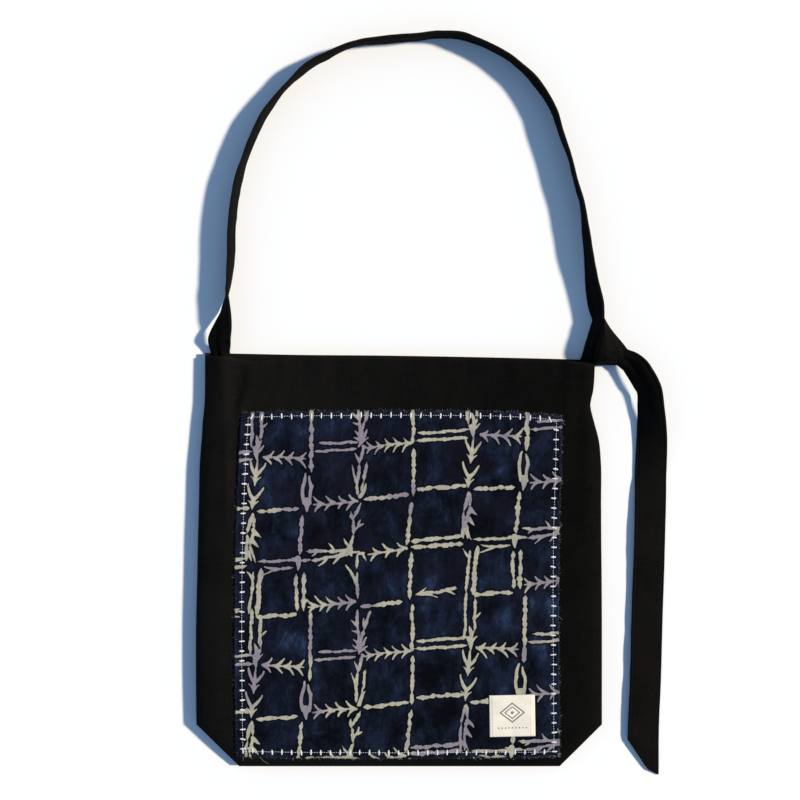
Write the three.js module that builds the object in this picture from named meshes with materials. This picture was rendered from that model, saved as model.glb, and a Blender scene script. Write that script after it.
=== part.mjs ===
// A patchwork shoulder bag of black canvas, lying on its back on a level surface.
// The bag is two canvas walls joined round the sides and the bottom, open at the mouth.
// A cotton patch with a small label lies on the front. One folded canvas band makes the
// shoulder strap, which stands on its edge in an arch, the knot at the right of the mouth,
// the short tab below the knot and the tail that runs down beside the bag.
// Lengths are in millimetres. X runs across the bag, Y from its bottom to its mouth and Z up.
// The origin is the middle of the back, on the surface that the bag lies on.
import * as THREE from "three";

// Driving sizes of the bag
const bagWidth = 404;
const bagHeight = 411;
const canvas = 1.6;
const crownHeight = 26;
const seamHeight = 10;
const frontRound = 24;
const backRound = 22;
const cornerCut = 42;
const gap = 0.3;

// Driving sizes of the patch and the label
const patchWidth = 318;
const patchHeight = 341;
const patchCloth = 1;
const patchFootroom = 10.5;
const patchShift = 1;
const patchLift = 0.6;
const labelWidth = 45;
const labelHeight = 43;
const labelCloth = 1;
const labelInsetSide = 24;
const labelInsetFoot = 20;
const labelTurn = 1.2;

// Driving sizes of the strap
const strapWidth = 32;
const strapCloth = 3;
const loopHeight = 315.5;
const strapInset = 22.5;
const knotInset = 3;
const sewnDepth = 28;
const knotHeight = 33;
const knotWidth = 30;
const knotLength = 44;
const knotThickness = 25;
const knotClearance = 1;
const tailLength = 410;
const tailTuck = 3.6;
const tailSweep = 26.4;
const tailSlant = 36;

const bottomY = -bagHeight / 2;
const mouthY = bagHeight / 2;
const halfWidth = bagWidth / 2;
const rad = THREE.MathUtils.degToRad;

// Half width of the bag to the left and right, as shares of half the bag's width,
// at heights given as shares of the bag's height
const sideRows = [
  { up: 0.0, left: 0.994, right: 0.999 },
  { up: 0.16, left: 0.999, right: 0.999 },
  { up: 0.35, left: 0.999, right: 0.999 },
  { up: 0.45, left: 0.994, right: 0.998 },
  { up: 0.55, left: 0.99, right: 0.996 },
  { up: 0.64, left: 0.985, right: 0.995 },
  { up: 0.74, left: 0.98, right: 0.994 },
  { up: 0.79, left: 0.972, right: 0.985 },
  { up: 0.84, left: 0.965, right: 0.96 },
  { up: 0.88, left: 0.957, right: 0.942 },
  { up: 0.93, left: 0.955, right: 0.957 },
  { up: 1.0, left: 0.955, right: 0.965 },
];

// Height of the front's middle as a share of the crown height, and how far its edges round
// over as a share of the front's rounding, at shares of the bag's height
const crownRows = [
  { up: 0.0, crown: 0.8, round: 1.0 },
  { up: 0.12, crown: 0.95, round: 1.0 },
  { up: 0.3, crown: 1.0, round: 1.0 },
  { up: 0.6, crown: 1.0, round: 1.0 },
  { up: 0.82, crown: 0.88, round: 0.9 },
  { up: 0.92, crown: 0.74, round: 0.7 },
  { up: 1.0, crown: 0.6, round: 0.5 },
];

// How far the two mouth edges lie below the mouth line, as shares of the bag's height,
// at shares of half the bag's width from the middle
const mouthRows = [
  { across: -1.0, front: 0.008, back: 0.0 },
  { across: -0.84, front: 0.01, back: 0.001 },
  { across: -0.73, front: 0.019, back: 0.002 },
  { across: -0.54, front: 0.0105, back: 0.004 },
  { across: -0.08, front: 0.0095, back: 0.006 },
  { across: 0.5, front: 0.0135, back: 0.011 },
  { across: 0.9, front: 0.0175, back: 0.0155 },
  { across: 1.0, front: 0.02, back: 0.016 },
];

// Soft swells and furrows of the front: their middle as shares of half the width and of the
// height, their breadth as the same shares, and their lift as a share of the crown height
const swellRows = [
  { across: -0.87, up: 1.02, wide: 0.075, long: 0.13, lift: 0.26 },
  { across: -0.76, up: 0.96, wide: 0.06, long: 0.06, lift: -0.08 },
  { across: 0.885, up: 1.02, wide: 0.07, long: 0.1, lift: 0.24 },
  { across: -0.3, up: 0.97, wide: 0.1, long: 0.05, lift: 0.04 },
  { across: 0.1, up: 0.96, wide: 0.1, long: 0.05, lift: 0.05 },
  { across: 0.5, up: 0.97, wide: 0.12, long: 0.05, lift: 0.04 },
  { across: -0.5, up: 0.5, wide: 0.3, long: 0.2, lift: 0.03 },
  { across: 0.35, up: 0.33, wide: 0.3, long: 0.2, lift: 0.03 },
];

// The arch of the strap. The place across runs from the left foot at 0 to the knot at 1, and
// up from the foot on its side at 0 to the crown at 1. Sewn counts down into the bag. Tilt
// is the band's angle from flat in degrees, 90 standing on its edge, less leaning outwards.
// Cup bows the band's middle, and wide narrows it, as shares of its width. Raised is 1 where
// the band lies on the inside of the back, and 0 where it stands on the ground.
const archRows = [
  { across: 0.027, up: 0, sewn: 1, tilt: 9, cup: 0, wide: 1, raised: 1 },
  { across: 0.014, up: 0, sewn: 0.5, tilt: 12, cup: 0.06, wide: 0.9, raised: 1 },
  { across: 0.006, up: 0, sewn: 0.06, tilt: 17, cup: 0.12, wide: 0.79, raised: 1 },
  { across: -0.001, up: 0.022, sewn: 0, tilt: 27, cup: 0.14, wide: 0.77, raised: 0.7 },
  { across: -0.001, up: 0.042, sewn: 0, tilt: 40, cup: 0.13, wide: 0.85, raised: 0 },
  { across: 0.013, up: 0.08, sewn: 0, tilt: 66, cup: 0.06, wide: 0.96, raised: 0 },
  { across: 0.02, up: 0.118, sewn: 0, tilt: 80, cup: 0.03, wide: 1, raised: 0 },
  { across: 0.023, up: 0.156, sewn: 0, tilt: 86, cup: 0, wide: 1, raised: 0 },
  { across: 0.025, up: 0.194, sewn: 0, tilt: 89, cup: 0, wide: 1, raised: 0 },
  { across: 0.029, up: 0.232, sewn: 0, tilt: 88, cup: 0, wide: 1, raised: 0 },
  { across: 0.034, up: 0.295, sewn: 0, tilt: 87, cup: 0, wide: 1, raised: 0 },
  { across: 0.036, up: 0.39, sewn: 0, tilt: 87, cup: 0, wide: 1, raised: 0 },
  { across: 0.043, up: 0.469, sewn: 0, tilt: 88, cup: 0, wide: 1, raised: 0 },
  { across: 0.053, up: 0.536, sewn: 0, tilt: 90, cup: 0, wide: 1, raised: 0 },
  { across: 0.071, up: 0.612, sewn: 0, tilt: 92, cup: 0, wide: 1, raised: 0 },
  { across: 0.096, up: 0.686, sewn: 0, tilt: 92, cup: 0, wide: 1, raised: 0 },
  { across: 0.129, up: 0.761, sewn: 0, tilt: 92, cup: 0, wide: 1, raised: 0 },
  { across: 0.163, up: 0.816, sewn: 0, tilt: 92, cup: 0, wide: 1, raised: 0 },
  { across: 0.203, up: 0.866, sewn: 0, tilt: 92, cup: 0, wide: 1, raised: 0 },
  { across: 0.242, up: 0.906, sewn: 0, tilt: 91, cup: 0, wide: 1, raised: 0 },
  { across: 0.281, up: 0.93, sewn: 0, tilt: 91, cup: 0, wide: 1, raised: 0 },
  { across: 0.36, up: 0.971, sewn: 0, tilt: 94, cup: 0, wide: 1, raised: 0 },
  { across: 0.44, up: 0.984, sewn: 0, tilt: 90, cup: 0, wide: 1, raised: 0 },
  { across: 0.517, up: 0.992, sewn: 0, tilt: 91, cup: 0, wide: 1, raised: 0 },
  { across: 0.576, up: 1, sewn: 0, tilt: 91, cup: 0, wide: 1, raised: 0 },
  { across: 0.636, up: 0.995, sewn: 0, tilt: 91, cup: 0, wide: 1, raised: 0 },
  { across: 0.675, up: 0.978, sewn: 0, tilt: 93, cup: 0, wide: 1, raised: 0 },
  { across: 0.753, up: 0.929, sewn: 0, tilt: 92, cup: 0, wide: 1, raised: 0 },
  { across: 0.793, up: 0.887, sewn: 0, tilt: 91, cup: 0, wide: 1, raised: 0 },
  { across: 0.834, up: 0.83, sewn: 0, tilt: 88, cup: 0, wide: 1, raised: 0 },
  { across: 0.874, up: 0.75, sewn: 0, tilt: 90, cup: 0, wide: 1, raised: 0 },
  { across: 0.9, up: 0.651, sewn: 0, tilt: 92, cup: 0, wide: 1, raised: 0 },
  { across: 0.922, up: 0.566, sewn: 0, tilt: 93, cup: 0, wide: 1, raised: 0 },
  { across: 0.938, up: 0.481, sewn: 0, tilt: 93, cup: 0, wide: 1, raised: 0 },
  { across: 0.955, up: 0.396, sewn: 0, tilt: 92, cup: 0, wide: 1, raised: 0 },
  { across: 0.963, up: 0.311, sewn: 0, tilt: 86, cup: 0, wide: 1, raised: 0 },
  { across: 0.971, up: 0.226, sewn: 0, tilt: 82, cup: 0, wide: 1, raised: 0 },
  { across: 0.979, up: 0.141, sewn: 0, tilt: 76, cup: 0, wide: 1, raised: 0 },
  { across: 0.987, up: 0.057, sewn: 0, tilt: 78, cup: 0, wide: 0.98, raised: 0 },
  { across: 1.0, up: 0, sewn: 0, tilt: 80, cup: 0, wide: 0.95, raised: 0 },
];

// The tab from the knot down into the mouth. Across runs from 0 at the knot to 1 at the sewn
// end, and down from 0 at the knot's top to 1 at the mouth. The other columns are the arch's.
const tabRows = [
  { across: 0, down: 0, sewn: 0, tilt: 80, cup: 0, wide: 0.95, raised: 0 },
  { across: 0.12, down: 0.2, sewn: 0, tilt: 78, cup: 0.01, wide: 0.93, raised: 0 },
  { across: 0.19, down: 0.42, sewn: 0, tilt: 76, cup: 0.02, wide: 0.86, raised: 0 },
  { across: 0.26, down: 0.7, sewn: 0, tilt: 66, cup: 0.04, wide: 0.72, raised: 0 },
  { across: 0.36, down: 0.97, sewn: 0, tilt: 40, cup: 0.1, wide: 0.52, raised: 0.6 },
  { across: 0.6, down: 1, sewn: 0.27, tilt: 18, cup: 0.12, wide: 0.55, raised: 1 },
  { across: 0.82, down: 1, sewn: 0.6, tilt: 14, cup: 0.07, wide: 0.68, raised: 1 },
  { across: 1, down: 1, sewn: 1, tilt: 10, cup: 0.02, wide: 0.8, raised: 1 },
];
const tabReach = 28;

// The tail from the knot to its slanted end. Out runs from 0 at the knot to 1 at the tail's
// farthest place from the bag, and down from 0 at the knot to 1 at the tip. Raised counts in
// shares of the knot's thickness here, and slant in shares of the slant of the cut end.
const tailRows = [
  { out: 0.0, down: 0, tilt: -26, cup: 0.1, wide: 0.56, raised: 0.14, slant: 0 },
  { out: 0.36, down: 0.02, tilt: -24, cup: 0.14, wide: 0.7, raised: 0.06, slant: 0 },
  { out: 0.64, down: 0.052, tilt: -20, cup: 0.14, wide: 0.74, raised: 0, slant: 0 },
  { out: 0.86, down: 0.082, tilt: -18, cup: 0.13, wide: 0.76, raised: 0, slant: 0 },
  { out: 0.945, down: 0.108, tilt: -16, cup: 0.11, wide: 0.79, raised: 0, slant: 0 },
  { out: 1.0, down: 0.157, tilt: -13, cup: 0.08, wide: 0.87, raised: 0, slant: 0 },
  { out: 1.0, down: 0.226, tilt: -11, cup: 0.05, wide: 0.95, raised: 0, slant: 0 },
  { out: 0.97, down: 0.345, tilt: -9, cup: 0.03, wide: 1, raised: 0, slant: 0 },
  { out: 0.915, down: 0.49, tilt: -8, cup: 0.02, wide: 1, raised: 0, slant: 0 },
  { out: 0.84, down: 0.635, tilt: -8, cup: 0.02, wide: 1, raised: 0, slant: 0 },
  { out: 0.78, down: 0.78, tilt: -8, cup: 0.01, wide: 1, raised: 0, slant: 0 },
  { out: 0.7, down: 0.9, tilt: -7, cup: 0, wide: 1, raised: 0, slant: 0 },
  { out: 0.69, down: 0.972, tilt: -6, cup: 0, wide: 1, raised: 0, slant: 1 },
];

// Sections across the knot, from its top to its foot. Down is a share of the knot's length,
// reach how far it stands out to the right as a share of its width, top its height as a share
// of its thickness, ridge and hollow the places of its crest and its furrow as shares of the
// section's breadth, and sink the furrow's depth as a share of the thickness
const knotRows = [
  { down: 0.0, reach: 0.06, top: 0.86, ridge: 0.35, hollow: 0.7, sink: 0.0 },
  { down: 0.12, reach: 0.2, top: 0.98, ridge: 0.32, hollow: 0.66, sink: 0.04 },
  { down: 0.3, reach: 0.44, top: 1.0, ridge: 0.28, hollow: 0.6, sink: 0.08 },
  { down: 0.5, reach: 0.7, top: 0.97, ridge: 0.25, hollow: 0.56, sink: 0.12 },
  { down: 0.66, reach: 0.96, top: 0.92, ridge: 0.24, hollow: 0.52, sink: 0.16 },
  { down: 0.8, reach: 0.92, top: 0.82, ridge: 0.25, hollow: 0.5, sink: 0.14 },
  { down: 0.92, reach: 0.8, top: 0.62, ridge: 0.3, hollow: 0.5, sink: 0.08 },
  { down: 1.0, reach: 0.68, top: 0.36, ridge: 0.4, hollow: 0.6, sink: 0.0 },
];

// A column's value where the key column reaches a place, straight between the rows
function between(rows, key, place, column) {
  let i = 0;
  while (i < rows.length - 2 && place > rows[i + 1][key]) {
    i += 1;
  }
  const low = rows[i];
  const high = rows[i + 1];
  const share = THREE.MathUtils.clamp((place - low[key]) / (high[key] - low[key]), 0, 1);
  return THREE.MathUtils.lerp(low[column], high[column], share);
}

// A quarter of an ellipse: 0 at the edge, 1 once the reach is passed
function roundOver(distance, reach) {
  const left = 1 - Math.min(Math.max(distance, 0) / reach, 1);
  return Math.sqrt(1 - left * left);
}

// One closed solid between an upper and a lower grid of points with the same rows and columns
function closedSheet(upper, lower) {
  const rows = upper.length;
  const columns = upper[0].length;
  const points = [...upper.flat(), ...lower.flat()];
  const top = (i, j) => i * columns + j;
  const under = (i, j) => rows * columns + i * columns + j;
  const faces = [];
  const quad = (a, b, c, d) => faces.push(a, b, c, a, c, d);
  for (let i = 0; i < rows - 1; i += 1) {
    for (let j = 0; j < columns - 1; j += 1) {
      quad(top(i, j), top(i, j + 1), top(i + 1, j + 1), top(i + 1, j));
      quad(under(i, j), under(i + 1, j), under(i + 1, j + 1), under(i, j + 1));
    }
    quad(under(i, 0), top(i, 0), top(i + 1, 0), under(i + 1, 0));
    quad(under(i + 1, columns - 1), top(i + 1, columns - 1), top(i, columns - 1), under(i, columns - 1));
  }
  for (let j = 0; j < columns - 1; j += 1) {
    quad(under(0, j + 1), top(0, j + 1), top(0, j), under(0, j));
    quad(under(rows - 1, j), top(rows - 1, j), top(rows - 1, j + 1), under(rows - 1, j + 1));
  }
  const geometry = new THREE.BufferGeometry().setFromPoints(points);
  geometry.setIndex(faces);
  geometry.computeVertexNormals();
  return geometry;
}

// Where a wall's side edge lies at a height above the bottom: the side table, less the
// slanting cut of the boxed corner
function sideEdge(y, side) {
  const up = (y - bottomY) / bagHeight;
  const inset = Math.max(cornerCut - (y - bottomY), 0);
  return between(sideRows, "up", up, side) * halfWidth - inset;
}

// Sum of the soft swells of the front at a place
function swellAt(x, y) {
  const up = (y - bottomY) / bagHeight;
  return swellRows.reduce((sum, swell) => {
    const dx = (x / halfWidth - swell.across) / swell.wide;
    const dy = (up - swell.up) / swell.long;
    return sum + swell.lift * crownHeight * Math.exp(-dx * dx - dy * dy);
  }, 0);
}

// Height of the front's outer face, or with a thickness of the face that far inside it
function frontHeight(x, y, inside = 0) {
  const up = (y - bottomY) / bagHeight;
  const reach = between(crownRows, "up", up, "round") * frontRound - inside;
  const side = Math.min(x + sideEdge(y, "left"), sideEdge(y, "right") - x) - inside;
  const foot = y - bottomY - inside;
  const crown = between(crownRows, "up", up, "crown") * crownHeight + swellAt(x, y);
  const rise = crown - inside - seamHeight;
  return seamHeight + gap / 2 + rise * roundOver(side, reach) * roundOver(foot, frontRound - inside);
}

// Height of the back's outer face, or with a thickness of the face that far inside it
function backHeight(x, y, inside = 0) {
  const side = Math.min(x + sideEdge(y, "left"), sideEdge(y, "right") - x) - inside;
  const foot = y - bottomY - inside;
  const reach = backRound - inside;
  const drop = seamHeight - gap / 2 - inside;
  return inside + drop * (1 - roundOver(side, reach) * roundOver(foot, reach));
}

// Shares and offsets that gather grid lines where an edge rounds over
function edgeLines(reach, steps) {
  return Array.from({ length: steps + 1 }, (_, i) => reach * (1 - Math.cos((i / steps) * (Math.PI / 2))));
}

// One canvas wall: its outer and inner faces are the same height field at two depths
function wallSolid({ heightAt, reach, mouthSide, outerIsUp, flatColumns, flatRows }) {
  const roundSteps = 4;
  const edge = edgeLines(reach, roundSteps);
  const columns = [
    ...edge.map((offset) => ({ share: 0, offset })),
    ...Array.from({ length: flatColumns - 1 }, (_, i) => ({
      share: (i + 1) / flatColumns,
      offset: reach * (1 - (2 * (i + 1)) / flatColumns),
    })),
    ...edge.toReversed().map((offset) => ({ share: 1, offset: -offset })),
  ];
  const flatHeight = bagHeight - cornerCut;
  const levels = [
    ...edge,
    (reach + cornerCut) / 2,
    ...Array.from({ length: flatRows + 1 }, (_, i) => cornerCut + (flatHeight * i) / flatRows),
  ];
  const face = (inside) =>
    levels.map((level) =>
      columns.map(({ share, offset }) => {
        const y = bottomY + level + inside * (1 - level / bagHeight);
        const left = -sideEdge(y, "left") + inside;
        const right = sideEdge(y, "right") - inside;
        const pinch = 1 - inside / reach;
        const x = left + share * (right - left) + offset * pinch;
        const drop = between(mouthRows, "across", x / halfWidth, mouthSide) * bagHeight;
        const settled = y - drop * (level / bagHeight) ** 6;
        return new THREE.Vector3(x, settled, heightAt(x, y, inside));
      }),
    );
  const outer = face(0);
  const inner = face(canvas);
  return outerIsUp ? closedSheet(outer, inner) : closedSheet(inner, outer);
}

// Where the patch lies. Its cut isn't quite square: the left edge leans in towards the top,
// the right edge leans out a little and the top edge falls to the right, as shares of its size.
const patchLeft = -patchWidth / 2 - patchShift;
const patchFoot = bottomY + patchFootroom;
const patchLean = { leftFoot: 0.006, leftHead: 0.016, rightHead: 0.004, headFall: 0.017 };
function patchPoint(across, up) {
  const bend = THREE.MathUtils.smoothstep(up, 0.5, 1);
  const leftLean = THREE.MathUtils.lerp(-patchLean.leftFoot, patchLean.leftHead, bend);
  const left = patchLeft + leftLean * patchWidth;
  const right = patchLeft + patchWidth * (1 + patchLean.rightHead * up);
  const x = THREE.MathUtils.lerp(left, right, across);
  const y = patchFoot + patchHeight * up * (1 - patchLean.headFall * across);
  return { x, y };
}

// A cloth laid on the front at a lift above it, with its own thickness
function laidCloth(placeAt, acrossLines, upLines, lift, thickness) {
  const face = (height) =>
    upLines.map((up) =>
      acrossLines.map((across) => {
        const { x, y } = placeAt(across, up);
        return new THREE.Vector3(x, y, frontHeight(x, y) + height);
      }),
    );
  return closedSheet(face(lift + thickness), face(lift));
}

function patchSolid() {
  const columns = 20;
  const rows = 18;
  const footRows = [0, 0.012, 0.024, 0.036];
  const edgeColumns = [0, 0.015, 0.03];
  const acrossLines = [
    ...edgeColumns,
    ...Array.from({ length: columns - 1 }, (_, i) => (i + 1) / columns),
    ...edgeColumns.toReversed().map((share) => 1 - share),
  ];
  const upLines = [...footRows, ...Array.from({ length: rows }, (_, i) => 0.05 + (0.95 * i) / (rows - 1))];
  return laidCloth(patchPoint, acrossLines, upLines, patchLift, patchCloth);
}

// The label lies inside the patch's lower right corner, turned a little
function labelPoint(across, up) {
  const centreX = patchLeft + patchWidth - labelInsetSide - labelWidth / 2;
  const centreY = patchFoot + labelInsetFoot + labelHeight / 2;
  const dx = (across - 0.5) * labelWidth;
  const dy = (up - 0.5) * labelHeight;
  const turn = rad(labelTurn);
  const x = centreX + dx * Math.cos(turn) - dy * Math.sin(turn);
  const y = centreY + dx * Math.sin(turn) + dy * Math.cos(turn);
  return { x, y };
}

function labelSolid() {
  const cells = 4;
  const lines = Array.from({ length: cells + 1 }, (_, i) => i / cells);
  return laidCloth(labelPoint, lines, lines, patchLift + patchCloth + gap, labelCloth);
}

// The rings of a band carried along a path: each stop gives the plan place, the height of its
// lowest point, the tilt, the cup, the breadth and the slant of the band there
const bandLines = [0.5, 0.25, 0, -0.25, -0.5];
function bandRings(stops, stepsBetween) {
  const path = new THREE.CatmullRomCurve3(
    stops.map((stop) => new THREE.Vector3(stop.x, stop.y, 0)),
    false,
    "centripetal",
  );
  const count = (stops.length - 1) * stepsBetween;
  return Array.from({ length: count + 1 }, (_, i) => {
    const t = i / count;
    const centre = path.getPoint(t);
    const along = path.getTangent(t);
    const leftward = new THREE.Vector3(-along.y, along.x, 0);
    const index = Math.min(Math.floor(i / stepsBetween), stops.length - 2);
    const share = i / stepsBetween - index;
    const value = (column) => THREE.MathUtils.lerp(stops[index][column], stops[index + 1][column], share);
    const tilt = rad(value("tilt"));
    const breadth = value("wide") * strapWidth;
    const across = leftward.clone().multiplyScalar(Math.cos(tilt)).setZ(Math.sin(tilt));
    const facing = leftward.clone().multiplyScalar(-Math.sin(tilt)).setZ(Math.cos(tilt));
    const layer = (offset) =>
      bandLines.map((line) =>
        centre
          .clone()
          .addScaledVector(across, line * breadth)
          .addScaledVector(facing, value("cup") * strapWidth * (1 - 4 * line * line) + offset)
          .addScaledVector(along, value("slant") * line),
      );
    const upper = layer(strapCloth / 2);
    const lower = layer(-strapCloth / 2);
    const lowest = Math.min(...[...upper, ...lower].map((point) => point.z));
    [...upper, ...lower].forEach((point) => point.setZ(point.z - lowest + value("low")));
    return { upper, lower };
  });
}

// Cuts a ring off square to the bag, so that two bands can meet face to face
function squareOff(ring, y) {
  [...ring.upper, ...ring.lower].forEach((point) => point.setY(y));
}

function bandSolid(rings) {
  return closedSheet(
    rings.map((ring) => ring.upper),
    rings.map((ring) => ring.lower),
  );
}

// The height at which the band lies on the inside of the back wall
const insideBack = canvas + gap;
const leftFoot = -halfWidth + strapInset;
const knotX = halfWidth - knotInset;
const knotTop = mouthY + knotHeight;

function archRings() {
  const crownY = mouthY + loopHeight;
  const crownRow = archRows.findIndex((row) => row.up === 1);
  const stops = archRows.map((row, i) => {
    const foot = i < crownRow ? mouthY : knotTop + gap;
    return {
      x: THREE.MathUtils.lerp(leftFoot, knotX, row.across),
      y: foot + row.up * (crownY - foot) - row.sewn * sewnDepth,
      low: row.raised * insideBack,
      tilt: row.tilt,
      cup: row.cup,
      wide: row.wide,
      slant: 0,
    };
  });
  const rings = bandRings(stops, 2);
  squareOff(rings.at(-1), knotTop + gap);
  return rings;
}

function tabRings() {
  const sewnX = knotX - tabReach;
  const stops = tabRows.map((row) => ({
    x: THREE.MathUtils.lerp(knotX, sewnX, row.across),
    y: knotTop - row.down * knotHeight - row.sewn * sewnDepth,
    low: row.raised * insideBack,
    tilt: row.tilt,
    cup: row.cup,
    wide: row.wide,
    slant: 0,
  }));
  const rings = bandRings(stops, 2);
  squareOff(rings[0], knotTop);
  return rings;
}

// How far right the tab reaches beside the knot at a height, and the bag's own corner below
// the mouth
const knotShoulder = 0.6;
const knotFlank = 0.25;
const bandStep = 0.08;
function leftOfKnot(y, tab) {
  const edges = tab.map((ring) => {
    const points = [...ring.upper, ...ring.lower].filter(
      (point) => point.z < (knotShoulder + bandStep) * knotThickness,
    );
    const farthest = points.reduce((best, point) => (point.x > best.x ? point : best));
    return { y: -farthest.y, x: farthest.x };
  });
  const tabEdge = between(edges, "y", -y, "x");
  const bagEdge = y < mouthY + gap ? sideEdge(mouthY, "right") : -Infinity;
  return Math.max(tabEdge, bagEdge) + knotClearance;
}

// The knot: sections from its top to its foot, each an arched top over a flat underside,
// with one furrow along it
const knotLines = [0, 0.04, 0.16, 0.34, 0.5, 0.66, 0.84, 0.96, 1];
const furrowBreadth = 0.12;
const crestSpread = 0.1;
const thinnestKnot = 1;
function knotSolid(tab) {
  const upper = [];
  const lower = [];
  knotRows.toReversed().forEach((row) => {
    const y = knotTop - row.down * knotLength;
    const left = leftOfKnot(y, tab);
    const right = knotX + knotClearance + gap + row.reach * knotWidth;
    const crest = row.top * knotThickness;
    const section = knotLines.map((line) => {
      const leftRise = roundOver(line, row.ridge + crestSpread);
      const rightRise = roundOver(1 - line, 1 - row.ridge + crestSpread);
      const furrow = Math.exp(-(((line - row.hollow) / furrowBreadth) ** 2)) * row.sink;
      const shoulder = THREE.MathUtils.lerp(knotShoulder, knotFlank, line);
      const rise = crest * (shoulder + (1 - shoulder) * leftRise * rightRise);
      const height = Math.max(rise - furrow * knotThickness, thinnestKnot);
      return new THREE.Vector3(THREE.MathUtils.lerp(left, right, line), y, height);
    });
    upper.push(section);
    lower.push(section.map((point) => new THREE.Vector3(point.x, point.y, 0)));
  });
  return closedSheet(upper, lower);
}

const tailExit = 0.86;
function tailRings() {
  const startX = knotX + knotWidth - tailTuck;
  const startY = knotTop - tailExit * knotLength;
  const stops = tailRows.map((row) => ({
    x: startX + row.out * tailSweep,
    y: startY - row.down * tailLength,
    low: row.raised * knotThickness,
    tilt: row.tilt,
    cup: row.cup,
    wide: row.wide,
    slant: row.slant * tailSlant,
  }));
  return bandRings(stops, 2);
}

// Materials
function cloth(color, roughness) {
  return new THREE.MeshStandardMaterial({ color, roughness, metalness: 0 });
}
const blackCanvas = () => cloth(0x141312, 0.92);
const printedCotton = () => cloth(0x1c2840, 0.9);
const creamCotton = () => cloth(0xf1e8d6, 0.88);

function addPiece(group, name, geometry, material) {
  const mesh = new THREE.Mesh(geometry, material);
  mesh.name = name;
  group.add(mesh);
}

const tab = tabRings();
const bag = new THREE.Group();
const body = new THREE.Group();
const band = new THREE.Group();
bag.add(body, band);
const frontWall = {
  heightAt: frontHeight,
  reach: frontRound,
  mouthSide: "front",
  outerIsUp: true,
  flatColumns: 16,
  flatRows: 16,
};
const backWall = {
  heightAt: backHeight,
  reach: backRound,
  mouthSide: "back",
  outerIsUp: false,
  flatColumns: 6,
  flatRows: 6,
};
addPiece(body, "front_panel", wallSolid(frontWall), blackCanvas());
addPiece(body, "back_panel", wallSolid(backWall), blackCanvas());
addPiece(body, "patch_panel", patchSolid(), printedCotton());
addPiece(body, "label", labelSolid(), creamCotton());
addPiece(band, "shoulder_strap", bandSolid(archRings()), blackCanvas());
addPiece(band, "strap_tab", bandSolid(tab), blackCanvas());
addPiece(band, "strap_knot", knotSolid(tab), blackCanvas());
addPiece(band, "strap_tail", bandSolid(tailRings()), blackCanvas());

export default bag;
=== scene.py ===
import math

import bpy
import numpy as np
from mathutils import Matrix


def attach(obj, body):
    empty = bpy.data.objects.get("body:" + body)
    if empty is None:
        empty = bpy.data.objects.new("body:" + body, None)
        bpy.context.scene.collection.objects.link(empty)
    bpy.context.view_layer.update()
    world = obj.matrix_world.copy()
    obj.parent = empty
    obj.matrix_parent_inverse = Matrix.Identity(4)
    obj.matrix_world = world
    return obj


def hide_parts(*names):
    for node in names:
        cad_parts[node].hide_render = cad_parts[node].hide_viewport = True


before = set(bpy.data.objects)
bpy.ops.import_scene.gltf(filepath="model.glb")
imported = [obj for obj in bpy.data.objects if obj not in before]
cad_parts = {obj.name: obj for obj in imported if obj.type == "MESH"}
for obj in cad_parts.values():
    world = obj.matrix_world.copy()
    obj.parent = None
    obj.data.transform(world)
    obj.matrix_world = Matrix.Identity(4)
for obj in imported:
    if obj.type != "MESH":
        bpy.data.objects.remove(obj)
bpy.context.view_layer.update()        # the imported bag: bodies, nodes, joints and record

mm = 0.001
body = "root"

# Sizes of the bag
bag_width = 0.404
bag_height = 0.411
canvas = 0.0016
crown_height = 0.026
seam_height = 0.010
front_round = 0.024
back_round = 0.022
corner_cut = 0.042
gap = 0.0003
bottom_y = -bag_height / 2
mouth_y = bag_height / 2
half_width = bag_width / 2

# Sizes of the patch and the label
patch_width = 0.318
patch_height = 0.341
patch_cloth = 0.0009
patch_footroom = 0.0105
patch_shift = 0.001
patch_lift = 0.0004
patch_cell = 0.00108
stitch_insets = {"left": 0.0072, "right": 0.0056, "foot": 0.0058, "head": 0.0047}
stitch_rows = {"foot": (32, 0.0), "right": (34, 0.0), "head": (31, 0.65), "left": (34, 0.75)}
stitch_pitch = 0.0098
bar_length = 0.0056
label_width = 0.045
label_height = 0.0413
label_cloth = 0.0007
label_inset_side = 0.024
label_inset_foot = 0.0221
label_turn = math.radians(1.2)

# Sizes of the band that makes the strap, the tab and the tail, and of the knot
strap_width = 0.032
strap_cloth = 0.003
loop_height = 0.3155
strap_inset = 0.0225
knot_inset = 0.003
sewn_depth = 0.028
knot_height = 0.033
knot_width = 0.030
knot_length = 0.044
knot_thickness = 0.025
tail_length = 0.410
tail_tuck = 0.0036
tail_sweep = 0.0264
tail_slant = 0.036
tail_exit = 0.86
tab_reach = 0.028
seam_inset = 0.003
hem_depth = 0.020

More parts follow.
